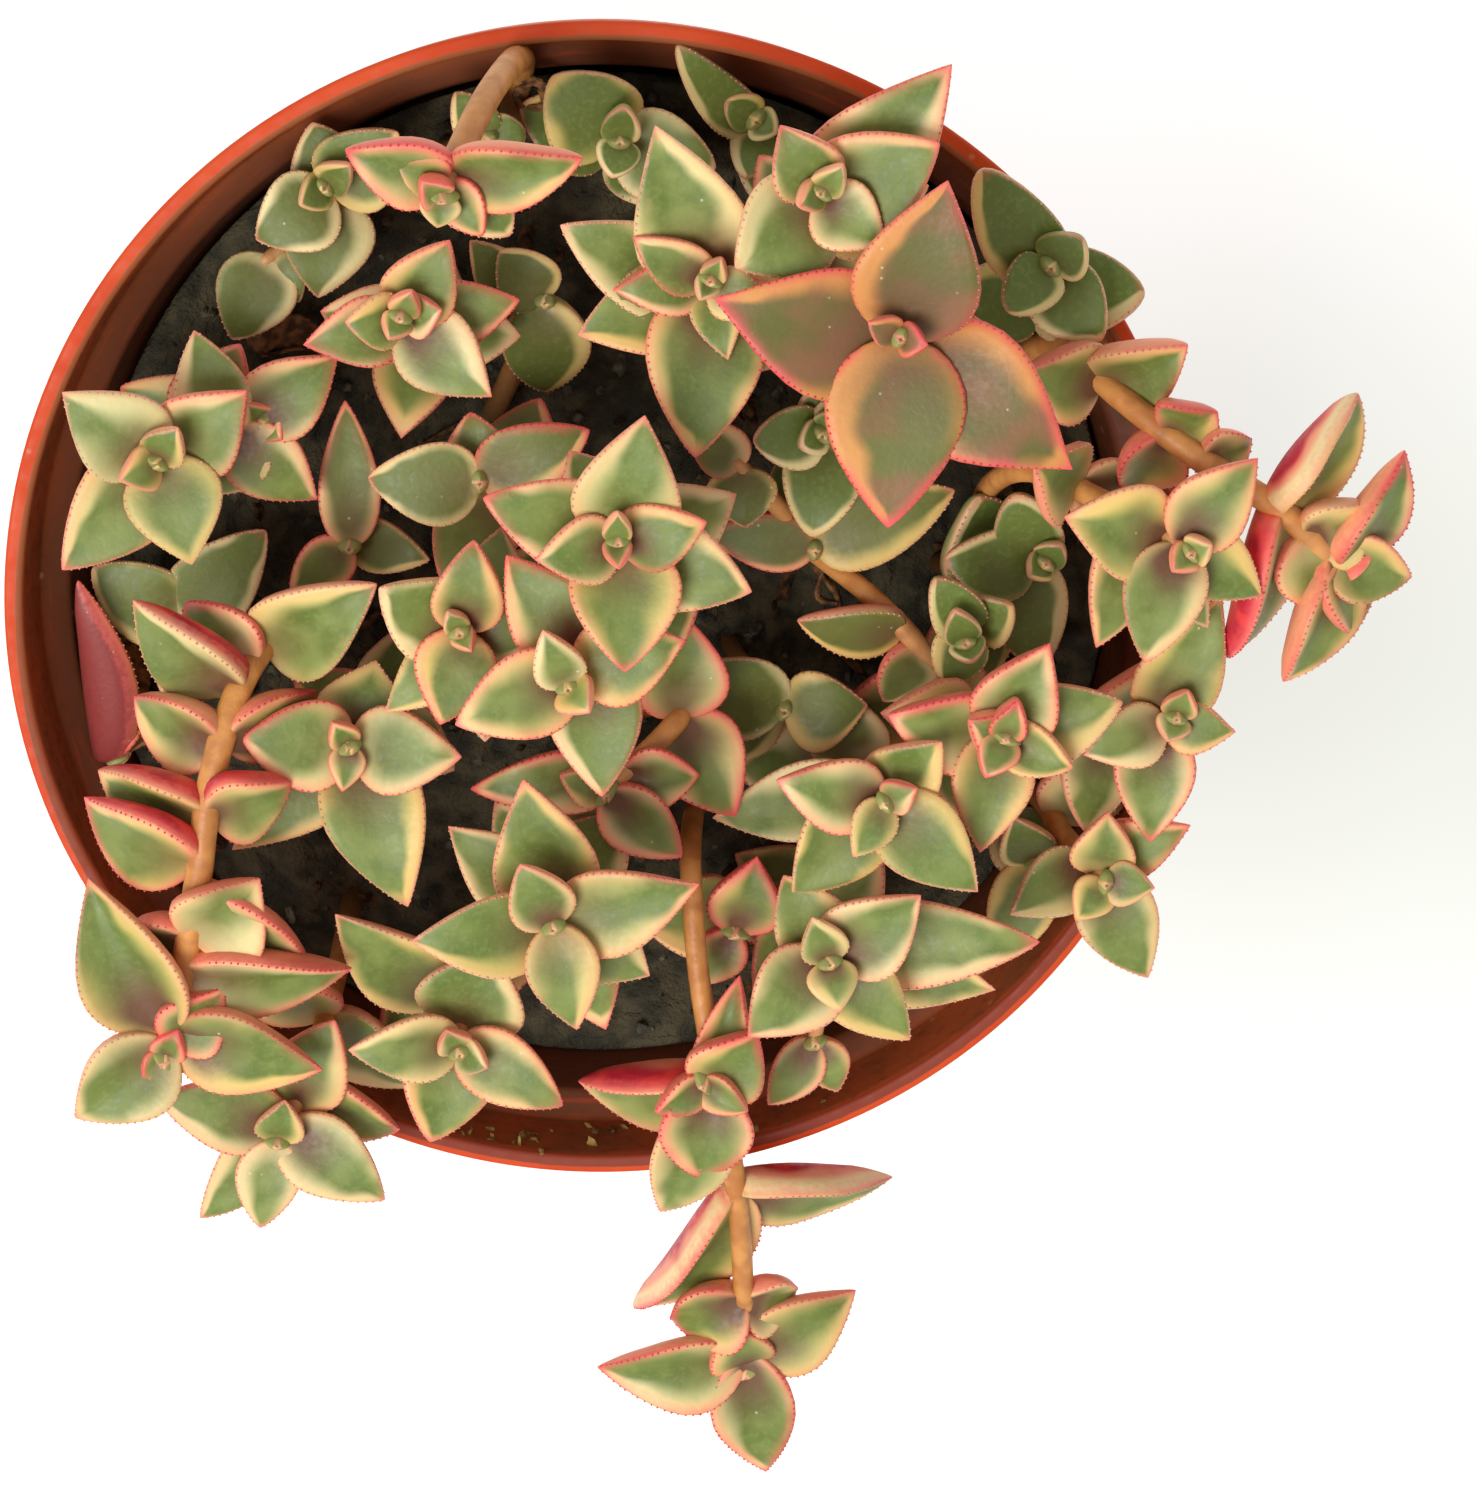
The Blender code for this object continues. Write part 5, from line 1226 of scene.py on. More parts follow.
def leaf_finish(looks):
    """Satin leaf skin: its face above and its underside below, with specks of dust."""
    made, nodes, shader = new_finish("leaf_skin", Specular_IOR_Level=looks.gloss)
    at = leaf_values(nodes, looks)
    colour = nodes.blend(nodes.step(at.side, 0.10, -0.22), leaf_face(nodes, looks, at),
                         leaf_underside(nodes, looks, at))
    dusty = nodes.math("MULTIPLY_ADD", at.dull, 0.25, 0.01)
    dust = placed(nodes, dust_group(), Spacing_mm=LEAF_DUST, Amount=dusty)["Mask"]
    colour = nodes.blend(nodes.times(dust, 0.4), colour, looks.dust)
    satin = nodes.step(at.grain, 0.25, 0.8, looks.roughness - 0.06, looks.roughness + 0.12)
    feed_shader(nodes, shader, colour, satin, nodes.relief(at.grain, LEAF_GRAIN, 0.7))
    return made


def dot_finish(looks):
    """The row of raised dots along a leaf's edge: pink to red, redder on blushed leaves."""
    made, nodes, shader = new_finish("margin_dots", Roughness=0.42, Specular_IOR_Level=looks.gloss)
    _, blush, _ = nodes.vector("leaf_tone")
    colour = nodes.blend(nodes.step(blush, 0.2, 0.9), looks.edge_soft, looks.dot)
    nodes.feed(shader.inputs["Base Color"], colour)
    return made


def stem_finish(looks):
    """Stem skin: woody at the root, orange tan above, paler near the tip, with a dark ring at each pair."""
    made, nodes, shader = new_finish("stem_skin", Specular_IOR_Level=0.45)
    height, ring, fresh = nodes.vector("stem_place")
    mottle = placed(nodes, mottle_group(), Size_mm=STEM_BLOTCHES)
    colour = nodes.blend(nodes.step(mottle["Blotches"], 0.35, 0.65), looks.tan, looks.orange)
    colour = nodes.blend(nodes.step(height, 14.0, 1.0), colour, looks.woody)
    colour = nodes.blend(nodes.times(fresh, 0.7), colour, looks.fresh)
    colour = nodes.blend(nodes.times(ring, 0.25), colour, looks.scar)
    feed_shader(nodes, shader, colour, nodes.step(mottle["Grain"], 0.2, 0.8, 0.40, 0.58),
                nodes.relief(mottle["Grain"], STEM_GRAIN, 0.6))
    return made


def pot_film_and_shade(nodes, looks, mottle, scraped, depth):
    """The dull film of dried soil on the inside, with painted shade: the wall made browner and darker as if
    in shade, patchy, more painted shade low down, and scraped through in places.
    """
    film = nodes.blend(nodes.step(mottle["Blotches"], 0.35, 0.65), looks.film, looks.thin_film_and_shade)
    # Painted shade: darker below the collar's step, deeper in the pot
    film = nodes.blend(nodes.step(depth, 6.0, 8.0), film, looks.low_film_and_shade)
    film = nodes.blend(nodes.times(nodes.step(mottle["Grain"], 0.5, 0.75), 0.4), film, looks.soil_stain)
    return nodes.blend(nodes.times(nodes.step(scraped, 0.58, 0.74), 0.30), film, looks.plastic_worn)


def lip_film_and_shade(nodes, looks, mottle, depth, from_edge):
    """Where the film lies on the lip, further out towards the front, and its colour there: darker at the
    front, as painted shade.
    """
    northward = nodes.node("ShaderNodeVectorMath", {0: nodes.place(), 1: (0.0, 1.0, 0.0)},
                           operation="DOT_PRODUCT").outputs["Value"]
    bare = nodes.step(northward, -0.03, 0.02, 0.45, 1.05)
    bare = nodes.math("MULTIPLY_ADD", mottle["Grain"], 0.2, bare)
    off_edge = nodes.step(from_edge, bare, nodes.math("ADD", bare, 0.25))
    on_lip = nodes.times(nodes.step(depth, 0.5, 0.2), off_edge)
    return on_lip, nodes.blend(nodes.step(northward, 0.02, -0.04), looks.film, looks.front_lip_shade)


def pot_finish(looks):
    """Orange nursery pot plastic, with a film of dried soil and painted shade inside and on the lip, and
    specks of lime.
    """
    made, nodes, shader = new_finish("pot_plastic", Specular_IOR_Level=0.20)
    inside, depth, from_edge = nodes.vector("pot_place")
    mottle = placed(nodes, mottle_group(), Size_mm=POT_BLOTCHES)
    scraped = nodes.node("ShaderNodeVectorMath", {0: nodes.place(), 1: SCRAPES},
                         operation="MULTIPLY").outputs[0]
    scraped = nodes.noise(1.0, 2.0, vector=scraped)
    colour = nodes.blend(nodes.step(mottle["Blotches"], 0.3, 0.7), looks.plastic, looks.plastic_worn)
    # The inside and the lip's inner edge take the film of dried soil with painted shade: the plastic made
    # browner and darker as if in shade
    film = pot_film_and_shade(nodes, looks, mottle, scraped, depth)
    on_lip, film_and_shade_on_lip = lip_film_and_shade(nodes, looks, mottle, depth, from_edge)
    film = nodes.blend(on_lip, film, film_and_shade_on_lip)
    inside = nodes.math("MAXIMUM", inside, on_lip)
    colour = nodes.blend(inside, colour, film)
    dust = placed(nodes, dust_group(), Spacing_mm=POT_DUST, Amount=0.22)["Mask"]
    colour = nodes.blend(nodes.times(dust, 0.45), colour, looks.lime)
    height = nodes.math("MULTIPLY_ADD", scraped, nodes.times(inside, 0.7), mottle["Grain"])
    feed_shader(nodes, shader, colour, nodes.step(mottle["Grain"], 0.2, 0.8, 0.38, 0.60),
                nodes.relief(height, POT_GRAIN, 0.5))
    return made


def earth_finish(label, dark, pale, size, grain):
    """Soil, grit or dry scraps: two colours in blotches, rough, with a grained surface."""
    made, nodes, shader = new_finish(label, Specular_IOR_Level=0.25)
    mottle = placed(nodes, mottle_group(), Size_mm=size)
    colour = nodes.blend(nodes.step(mottle["Blotches"], 0.34, 0.68), dark, pale)
    colour = nodes.blend(nodes.times(nodes.step(mottle["Grain"], 0.55, 0.8), 0.5), colour, pale)
    feed_shader(nodes, shader, colour, nodes.step(mottle["Grain"], 0.2, 0.8, 0.75, 0.95),
                nodes.relief(mottle["Grain"], grain, 1.0))
    return made


def loose_finish(label):
    """The finish of something that lies loose, from its row in the table."""
    dark, pale, size, grain = LOOSE_FINISHES[label]
    return earth_finish(label, seen(*dark), seen(*pale), size, grain)


def colour_property(name, description, shade):
    """A colour to set, given as a screen shows it."""
    return FloatVectorProperty(name=name, description=description, default=seen(*shade), size=3,
                               subtype="COLOR", min=0.0, max=1.0)


def number_property(name, description, value, low, high, **kind):
    """A number to set between these limits."""
    return FloatProperty(name=name, description=description, default=value, min=low, max=high, **kind)


class PotLooks(bpy.types.PropertyGroup):
    """The pot's settings"""
    plastic: colour_property("Plastic", "The pot's own orange", (192, 62, 18))
    plastic_worn: colour_property("Worn plastic", "Paler orange in soft blotches", (199, 71, 27))
    # The inside's colours: a film of dried soil and painted shade, browner and darker than the plastic as the
    # inner wall looks in shade
    film: colour_property("Soil film", "Dried film on the inside of the collar", (144, 80, 45))
    thin_film_and_shade: colour_property("Thin film", "Where the plastic shows through the film", (168, 84, 44))
    # Painted shade on the front of the lip
    front_lip_shade: colour_property("Lip film", "Film on the front of the lip", (128, 52, 32))
    # Painted shade, darker low in the pot
    low_film_and_shade: colour_property("Low wall", "The wall below the collar's step", (100, 54, 32))
    soil_stain: colour_property("Stain", "Dark grain in the film", (96, 54, 34))
    lime: colour_property("Lime", "Pale specks of dried water", (196, 160, 120))
    ridge_depth: number_property("Ridge depth", "Depth of the moulded rings inside the collar",
                                 0.05 * MM, 0.0, 0.5 * MM, unit="LENGTH")


class SoilLooks(bpy.types.PropertyGroup):
    """The soil's settings"""
    dark: colour_property("Dark", "Moist potting soil", (49, 47, 36))
    pale: colour_property("Pale", "Dry crumbs of soil", (80, 73, 53))
    relief: number_property("Relief", "Height of the soil's lumps", 1.1 * MM, 0.0, 3.0 * MM, unit="LENGTH")
    grit_count: IntProperty(name="Grit", description="How many small stones lie on the soil", default=480,
                            min=0, max=2000)
    bark_count: IntProperty(name="Bark", description="How many bits of bark lie on the soil", default=120,
                            min=0, max=500)


class StemLooks(bpy.types.PropertyGroup):
    """The stems' settings"""
    tan: colour_property("Tan", "A stem's first colour", (180, 116, 58))
    orange: colour_property("Orange", "Warm blotches on a stem", (204, 140, 74))
    woody: colour_property("Woody", "An old stem near the soil", (96, 66, 34))
    fresh: colour_property("Fresh", "A stem near its growing tip", (200, 150, 100))
    scar: colour_property("Scar", "The ring at each pair of leaves", (120, 66, 36))
    swelling: number_property("Swelling", "How much a stem thickens at each pair of leaves",
                              0.02, 0.0, 0.5, subtype="FACTOR")


class LeafLooks(bpy.types.PropertyGroup):
    """The leaves' settings"""
    sage_deep: colour_property("Deep sage", "The middle of a leaf", (94, 112, 46))
    sage_pale: colour_property("Pale sage", "Soft paler blotches in the middle", (133, 145, 77))
    sage_green: colour_property("Green", "The middle of a leaf with little cream", (98, 116, 50))
    sage_old: colour_property("Old sage", "The middle of a dull, old leaf", (98, 94, 44))
    veil: colour_property("Veil", "A pinkish veil over an old leaf", (140, 90, 64))
    cream: colour_property("Cream", "The border of a leaf", (226, 214, 156))
    yellow: colour_property("Yellow", "The border of a yellower leaf", (216, 192, 106))
    amber: colour_property("Amber", "The border of an old leaf", (204, 138, 74))
    peach: colour_property("Peach", "A blushed border", (240, 168, 122))
    edge_soft: colour_property("Soft edge", "The edge line of a green leaf", (228, 164, 132))
    edge_strong: colour_property("Strong edge", "The edge line of a blushed leaf", (224, 84, 86))
    # Partly painted shade: the purple-brown at a leaf's base, where the pair meets, as well as the leaf's own
    # flush
    plum: colour_property("Plum", "The flush at a leaf's base", (104, 72, 50))
    under_pale: colour_property("Pale underside", "Pinkish cream under a leaf", (236, 150, 118))
    under_green: colour_property("Green underside", "Sage under a leaf", (140, 150, 84))
    under_red: colour_property("Red underside", "Sunned red under a leaf", (190, 34, 58))
    under_bright: colour_property("Bright underside", "Brighter blotches in a sunned red", (226, 62, 62))
    under_dusky: colour_property("Dusky underside", "Red under an old, dull leaf", (134, 54, 50))
    dot: colour_property("Dot", "The raised dots on a blushed leaf's edge", (212, 66, 74))
    dust: colour_property("Dust", "Specks of dust", (240, 236, 214))
    gloss: number_property("Gloss", "Strength of the skin's shine", 0.36, 0.0, 1.0, subtype="FACTOR")
    roughness: number_property("Roughness", "How satin the skin is", 0.46, 0.1, 0.9, subtype="FACTOR")
    plumpness: number_property("Plumpness", "A leaf's depth as a share of its solid's", 1.6, 0.8, 2.5)
    dot_size: number_property("Dot size", "Radius of a dot on the edge",
                              0.13 * MM, 0.02 * MM, 0.5 * MM, unit="LENGTH")
    dot_spacing: number_property("Dot spacing", "From one dot to the next",
                                 0.70 * MM, 0.2 * MM, 2.0 * MM, unit="LENGTH")


class StageLooks(bpy.types.PropertyGroup):
    """The settings of the floor and the light"""
    floor: colour_property("Floor", "The plain pale floor", (150, 152, 148))
    floor_shade: colour_property("Floor shade", "A faint shade beside the pot", (199, 202, 194))
    floor_contact: colour_property("Contact shade", "The shade close to the pot's base", (150, 150, 146))
    floor_mark: colour_property("Floor marks", "Very soft blotches on the floor", (140, 142, 138))
    floor_light: number_property("Floor light", "How brightly the floor itself is lit", 0.88, 0.0, 3.0)
    sky: number_property("Sky", "Brightness of the pale surroundings", 0.62, 0.0, 5.0)
    key: number_property("Key light", "Power of the large soft lamp", 8.6, 0.0, 200.0, unit="POWER")
    exposure: number_property("Exposure", "The film's exposure, in stops", 0.0, -3.0, 3.0)


def rounded(profile, radius):
    """A closed profile with each corner off the axis rounded.

    The rounding is a quadratic curve that starts and ends radius from the corner.
    """
    corners = np.array(profile)
    before, after = np.roll(corners, 1, axis=0), np.roll(corners, -1, axis=0)
    points = []
    for corner, back, ahead in zip(corners, before, after):
        if corner[0] <= 0.0:
            points.append(corner[None])
            continue
        reach_back = min(radius, 0.45 * np.linalg.norm(back - corner))
        reach_ahead = min(radius, 0.45 * np.linalg.norm(ahead - corner))
        start = corner + unit(back - corner) * reach_back
        end = corner + unit(ahead - corner) * reach_ahead
        t = np.linspace(0.0, 1.0, CORNER_POINTS)[:, None]
        points.append((1 - t) ** 2 * start + 2 * t * (1 - t) * corner + t ** 2 * end)
    return np.concatenate(points)


def finer(profile, step):
    """The profile with points added so that none are further apart than the step."""
    pieces = []
    for start, end in zip(profile[:-1], profile[1:]):
        count = max(1, int(math.ceil(np.linalg.norm(end - start) / step)))
        pieces.append(start + (end - start) * np.linspace(0.0, 1.0, count, endpoint=False)[:, None])
    return np.concatenate(pieces + [profile[-1:]])


def lathe(profile, columns):
    """A profile of (radius, height), from axis to axis, turned about Z: x = r cos a, y = r sin a.

    Gives the points, the quads and the fans at its two poles.
    """
    ring = profile[1:-1]
    angle = turn_angles(columns)
    points = np.stack([ring[:, :1] * np.cos(angle), ring[:, :1] * np.sin(angle),
                       np.repeat(ring[:, 1:], columns, axis=1)], axis=-1).reshape(-1, 3)
    poles = np.array([[0.0, 0.0, profile[0, 1]], [0.0, 0.0, profile[-1, 1]]])
    quads, fans = grid_faces(len(ring), columns)
    return np.concatenate([points, poles]), quads, fans


def pot_outline():
    """The pot's profile from the middle of its base, up its outer side, over the lip and down inside."""
    band = RIM_HEIGHT - BAND_DEPTH
    step = RIM_HEIGHT - COLLAR_DEPTH
    collar = RIM_RADIUS - LIP_WIDTH
    outer = [(0.0, 0.0), (BASE_RADIUS, 0.0), (wall_radius(band - LIP_EDGE), band - LIP_EDGE),
             (RIM_RADIUS - BAND_DRAFT, band), (RIM_RADIUS, RIM_HEIGHT)]
    inner = [(collar, RIM_HEIGHT), (collar - COLLAR_DRAFT, step),
             (wall_radius(step - COLLAR_STEP) - WALL, step - COLLAR_STEP),
             (wall_radius(FLOOR_THICKNESS) - WALL, FLOOR_THICKNESS), (0.0, FLOOR_THICKNESS)]
    return rounded(outer + inner, LIP_EDGE)


class CRASSULA_OT_pot(bpy.types.Operator):
    """Turn the nursery pot, with its rounded lip, moulded rings and drain holes"""
    bl_idname = "crassula.pot"
    bl_label = "Pot"

    def execute(self, context):
        """Makes the pot."""
        looks = context.scene.crassula_pot
        profile = finer(pot_outline(), POT_STEP)
        points, quads, fans = lathe(profile, POT_COLUMNS)
        inside, below_lip, _ = self.places(points)
        rings = (inside > 0.0) & (below_lip > RIDGES_BELOW_LIP) & (below_lip < COLLAR_DEPTH / MM)
        wave = np.cos(2.0 * math.pi * below_lip / RIDGE_SPACING)
        inward = np.where(rings, looks.ridge_depth * wave, 0.0)
        points[:, :2] *= (1.0 - inward / np.maximum(np.hypot(points[:, 0], points[:, 1]), MM))[:, None]
        pot = new_piece("nursery_pot", points, (quads, fans), [pot_finish(looks)])
        self.drill(pot)
        points = np.zeros(len(pot.data.vertices) * 3)
        pot.data.vertices.foreach_get("co", points)
        write_attribute(pot.data, "pot_place", np.stack(self.places(points.reshape(-1, 3)), axis=-1))
        stand_for(pot, "pot", "pot")
        return {"FINISHED"}

    def places(self, points):
        """1 on the inner side, then the mm that each point is below the lip and inside the lip's edge."""
        radius = np.hypot(points[:, 0], points[:, 1])
        below_lip = (RIM_HEIGHT - points[:, 2]) / MM
        middle_of_wall = np.where(points[:, 2] > RIM_HEIGHT - BAND_DEPTH,
                                  RIM_RADIUS - LIP_WIDTH + 0.5 * MM,
                                  wall_radius(points[:, 2]) - 0.5 * WALL)
        inside = (radius < middle_of_wall) & (points[:, 2] > 0.5 * FLOOR_THICKNESS)
        return inside * np.clip(below_lip / 0.5, 0.0, 1.0), below_lip, (RIM_RADIUS - radius) / MM

    def drill(self, pot):
        """Cuts the drain holes with plain rods, which are then removed."""
        angle = turn_angles(DRAIN_COUNT)
        rod = lathe(np.array([(0.0, -FLOOR_THICKNESS), (DRAIN_RADIUS, -FLOOR_THICKNESS),
                              (DRAIN_RADIUS, 2.0 * FLOOR_THICKNESS), (0.0, 2.0 * FLOOR_THICKNESS)]),
                    DRAIN_COLUMNS)
        spots = np.stack([np.cos(angle), np.sin(angle), np.zeros(DRAIN_COUNT)], axis=-1) * DRAIN_CIRCLE
        points = (rod[0][None] + spots[:, None]).reshape(-1, 3)
        faces = [repeated(group, DRAIN_COUNT, len(rod[0])) for group in rod[1:]]
        rods = new_piece("drain_rods", points, faces, [], smooth=False)
        holes = pot.modifiers.new("Drain holes", "BOOLEAN")
        holes.operation = "DIFFERENCE"
        holes.object = rods
        bpy.context.view_layer.update()
        settled = bpy.context.evaluated_depsgraph_get()
        cut = bpy.data.meshes.new_from_object(pot.evaluated_get(settled), preserve_all_data_layers=True,
                                              depsgraph=settled)
        pot.modifiers.clear()
        pot.data = cut
        bpy.data.objects.remove(rods)


def lumps(x, y, seed, size, count=14):
    """Uneven ground from 0 to 1: a mean of sine waves of about this size, in seeded directions."""
    rng = np.random.default_rng(seed)
    total = np.zeros_like(x)
    for _ in range(count):
        angle, phase = rng.uniform(0.0, 2.0 * math.pi, 2)
        wave = 2.0 * math.pi / (size * rng.uniform(0.6, 1.6))
        total += np.sin(wave * (x * math.cos(angle) + y * math.sin(angle)) + phase)
    return 0.5 + 0.5 * np.tanh(total / math.sqrt(0.5 * count))


def soil_height(x, y, relief):
    """The soil's height: broad mounds, clods and crumbs over the level of the solid's top."""
    mounds = lumps(x, y, MOUND_SEED, MOUND_SIZE) - 0.5
    clods = np.abs(lumps(x, y, CLOD_SEED, CLOD_SIZE) - 0.5) * 2.0
    crumbs = lumps(x, y, CRUMB_SEED, CRUMB_SIZE, 22) - 0.5
    return RIM_HEIGHT - SOIL_BELOW_RIM + relief * (1.1 * mounds + 0.75 * clods + 0.55 * crumbs - 0.3)


class CRASSULA_OT_soil(bpy.types.Operator):
    """Fill the pot with soil: one closed body whose top is uneven ground"""
    bl_idname = "crassula.soil"
    bl_label = "Soil"

    def execute(self, context):
        """Makes the soil."""
        looks = context.scene.crassula_soil
        top = RIM_HEIGHT - SOIL_BELOW_RIM
        floor = FLOOR_THICKNESS + CLEARANCE
        inside = WALL + 2.0 * CLEARANCE
        brim = wall_radius(top) - inside
        radii = brim * np.linspace(0.0, 1.0, SOIL_RINGS) ** 0.8
        surface = np.stack([radii, np.full(SOIL_RINGS, top)], axis=-1)[::-1]
        low = np.array([(0.0, floor), (wall_radius(floor) - inside, floor)])
        profile = np.concatenate([low, surface])
        points, quads, fans = lathe(profile, SOIL_COLUMNS)
        ground = points[:, 2] > top - 0.1 * MM
        radius = np.hypot(points[:, 0], points[:, 1])
        fade = np.clip((brim - radius) / LEVEL_EDGE, 0.0, 1.0)
        height = soil_height(points[:, 0], points[:, 1], looks.relief)
        points[:, 2] = np.where(ground, top + (height - top) * fade, points[:, 2])
        finish = earth_finish("potting_soil", looks.dark, looks.pale, SOIL_BLOTCHES, SOIL_GRAIN)
        soil = new_piece("potting_soil", points, (quads, fans), [finish])
        stand_for(soil, "soil", "soil")
        return {"FINISHED"}


def pebble_shape():
    """A rough ball of unit radius, as three rings of six points and two poles."""
    latitude = np.radians([-45.0, 0.0, 45.0])
    angle = turn_angles(6)
    radius = np.cos(latitude)[:, None]
    ring = np.stack([radius * np.cos(angle), radius * np.sin(angle),
                     np.repeat(np.sin(latitude)[:, None], 6, axis=1)], axis=-1).reshape(-1, 3)
    points = np.concatenate([ring, [[0.0, 0.0, -1.0], [0.0, 0.0, 1.0]]])
    quads, fans = grid_faces(3, 6)
    return points, quads[:, ::-1], fans[:, ::-1]


def random_turns(rng, count):
    """Rotation matrices for random unit quaternions (w, x, y, z)."""
    w, x, y, z = unit_rows(rng.normal(size=(count, 4))).T
    return np.stack([1 - 2 * (y * y + z * z), 2 * (x * y - w * z), 2 * (x * z + w * y),
                     2 * (x * y + w * z), 1 - 2 * (x * x + z * z), 2 * (y * z - w * x),
                     2 * (x * z - w * y), 2 * (y * z + w * x), 1 - 2 * (x * x + y * y)],
                    axis=-1).reshape(-1, 3, 3)


def unit_rows(rows):
    """Each row made one long."""
    return rows / np.maximum(np.linalg.norm(rows, axis=-1, keepdims=True), 1e-12)


def scattered(name, rng, centres, sizes, stretch, finish, crumple=0.22):
    """Many small lumps in one mesh: each a pebble stretched, crumpled, turned and put in its place."""
    points, quads, fans = pebble_shape()
    count = len(centres)
    shapes = points[None] * (1.0 + rng.uniform(-crumple, crumple, (count, len(points), 1)))
    shapes = shapes * np.asarray(stretch) * rng.uniform(0.75, 1.25, (count, 1, 3)) * sizes[:, None, None]
    shapes = np.einsum("nij,npj->npi", random_turns(rng, count), shapes) + centres[:, None]
    faces = [repeated(group, count, len(points)) for group in (quads, fans)]
    piece = new_piece(name, shapes.reshape(-1, 3), faces, [finish], smooth=False)
    stand_for(piece, "soil")
    return piece


def on_the_soil(rng, count, relief, sunk):
    """Random places over the ground, this far below its surface."""
    reach = wall_radius(RIM_HEIGHT - SOIL_BELOW_RIM) - SCATTER_MARGIN
    radius = reach * np.sqrt(rng.uniform(0.0, 1.0, count))
    angle = rng.uniform(0.0, 2.0 * math.pi, count)
    x, y = radius * np.cos(angle), radius * np.sin(angle)
    return np.stack([x, y, soil_height(x, y, relief) - sunk], axis=-1)


def collar_spot(across, down):
    """The point of the collar's inner side that the view shows here."""
    heights = np.linspace(-COLLAR_DEPTH, -LIP_EDGE, 40)
    spots = np.array([spot(across, down, height / MM) for height in heights])
    collar = RIM_RADIUS - LIP_WIDTH + heights * COLLAR_DRAFT / COLLAR_DEPTH
    return spots[np.argmin(np.abs(np.hypot(spots[:, 0], spots[:, 1]) - collar))]


def strip_surface(route, width, thickness, rng):
    """A dry strip: an ellipse of width by thickness carried along a curve, twisted and buckled."""
    path, lengths = rail(route, STRIP_STEP)
    share = lengths / lengths[-1]
    knots = np.linspace(0.0, 1.0, 8)
    uneven, buckle = [np.interp(share, knots, rng.uniform(-1.0, 1.0, 8)) for _ in range(2)]
    half = 0.5 * width * (1.0 + 0.45 * uneven) * np.sin(math.pi * (0.1 + 0.8 * share)) ** 0.5
    first, second = carried_frame(path)
    twist = rng.uniform(0.0, math.pi) + rng.uniform(-1.2, 1.2) * share
    flat = np.cos(twist)[:, None] * first + np.sin(twist)[:, None] * second
    thick = np.cross(unit_rows(np.gradient(path, axis=0)), flat)
    angle = turn_angles(STRIP_COLUMNS)
    x = half[:, None] * np.cos(angle)
    y = 0.5 * thickness * np.sin(angle) + 0.3 * width * buckle[:, None] * np.cos(angle) ** 2
    skin = path[:, None] + x[..., None] * flat[:, None] + y[..., None] * thick[:, None]
    points = np.concatenate([skin.reshape(-1, 3), skin[:1].mean(axis=1), skin[-1:].mean(axis=1)])
    quads, fans = grid_faces(len(path), STRIP_COLUMNS)
    return points, quads, fans


def joined(parts):
    """Points and face groups of several surfaces as one."""
    starts = np.cumsum([0] + [len(part[0]) for part in parts[:-1]])
    return (np.concatenate([part[0] for part in parts]),
            [part[kind] + start for part, start in zip(parts, starts) for kind in (1, 2)])


class CRASSULA_OT_litter(bpy.types.Operator):
    """Drop dry scraps and a curled tendril on the soil, and dried flakes on the collar"""
    bl_idname = "crassula.litter"
    bl_label = "Litter"

    def execute(self, context):
        """Makes the scraps and the flakes."""
        rng = np.random.default_rng(LITTER_SEED)
        for kind in ("paper", "bark"):
            finish = loose_finish("dry_" + kind)
            parts = [strip_surface([spot(*place) for place in scrap.route], scrap.width * MM,
                                   scrap.thickness * MM, rng) for scrap in LITTER if scrap.kind == kind]
            stand_for(new_piece("litter_" + kind, *joined(parts), [finish]), "soil")
        centres = [collar_spot(rng.uniform(*across), rng.uniform(*down))
                   for count, across, down in WALL_FLAKES for _ in range(count)]
        flake = loose_finish("dried_flakes")
        sizes = rng.uniform(*FLAKE_SIZES, len(centres))
        scattered("wall_flakes", rng, np.array(centres), sizes, FLAKE_SHAPE, flake, 0.3)
        return {"FINISHED"}


class CRASSULA_OT_grit(bpy.types.Operator):
    """Scatter small stones and bits of bark over the soil"""
    bl_idname = "crassula.grit"
    bl_label = "Grit"

    def execute(self, context):
        """Makes the stones and the bits of bark."""
        looks = context.scene.crassula_soil
        rng = np.random.default_rng(GRIT_SEED)
        stone = loose_finish("grit_stone")
        sizes = rng.lognormal(math.log(STONE_MIDDLE_SIZE), STONE_SPREAD, looks.grit_count)
        sizes = np.clip(sizes, *STONE_SIZES)
        places = on_the_soil(rng, looks.grit_count, looks.relief, STONE_SUNK)
        scattered("grit_stones", rng, places, sizes, STONE_SHAPE, stone)
        bark = loose_finish("bark_bits")
        sizes = rng.uniform(*BARK_SIZES, looks.bark_count)
        places = on_the_soil(rng, looks.bark_count, looks.relief, BARK_SUNK)
        scattered("bark_bits", rng, places, sizes, BARK_SHAPE, bark, 0.35)
        return {"FINISHED"}


def rail(route, step):
    """A smooth curve through these points, with the distance from its start to each point of it."""
    fine = smooth_route([np.array(point) for point in route], step)
    return fine, distances(fine)


def carried_frame(path):
    """Two directions across the path at each of its points, carried along it with the least twist."""
    along = unit_rows(np.gradient(path, axis=0))
    first = np.zeros_like(path)
    first[0] = ring_frame(along[0])[0]
    for index in range(1, len(path)):
        moved = first[index - 1] - np.dot(first[index - 1], along[index]) * along[index]
        first[index] = unit(moved)
    return first, np.cross(along, first)


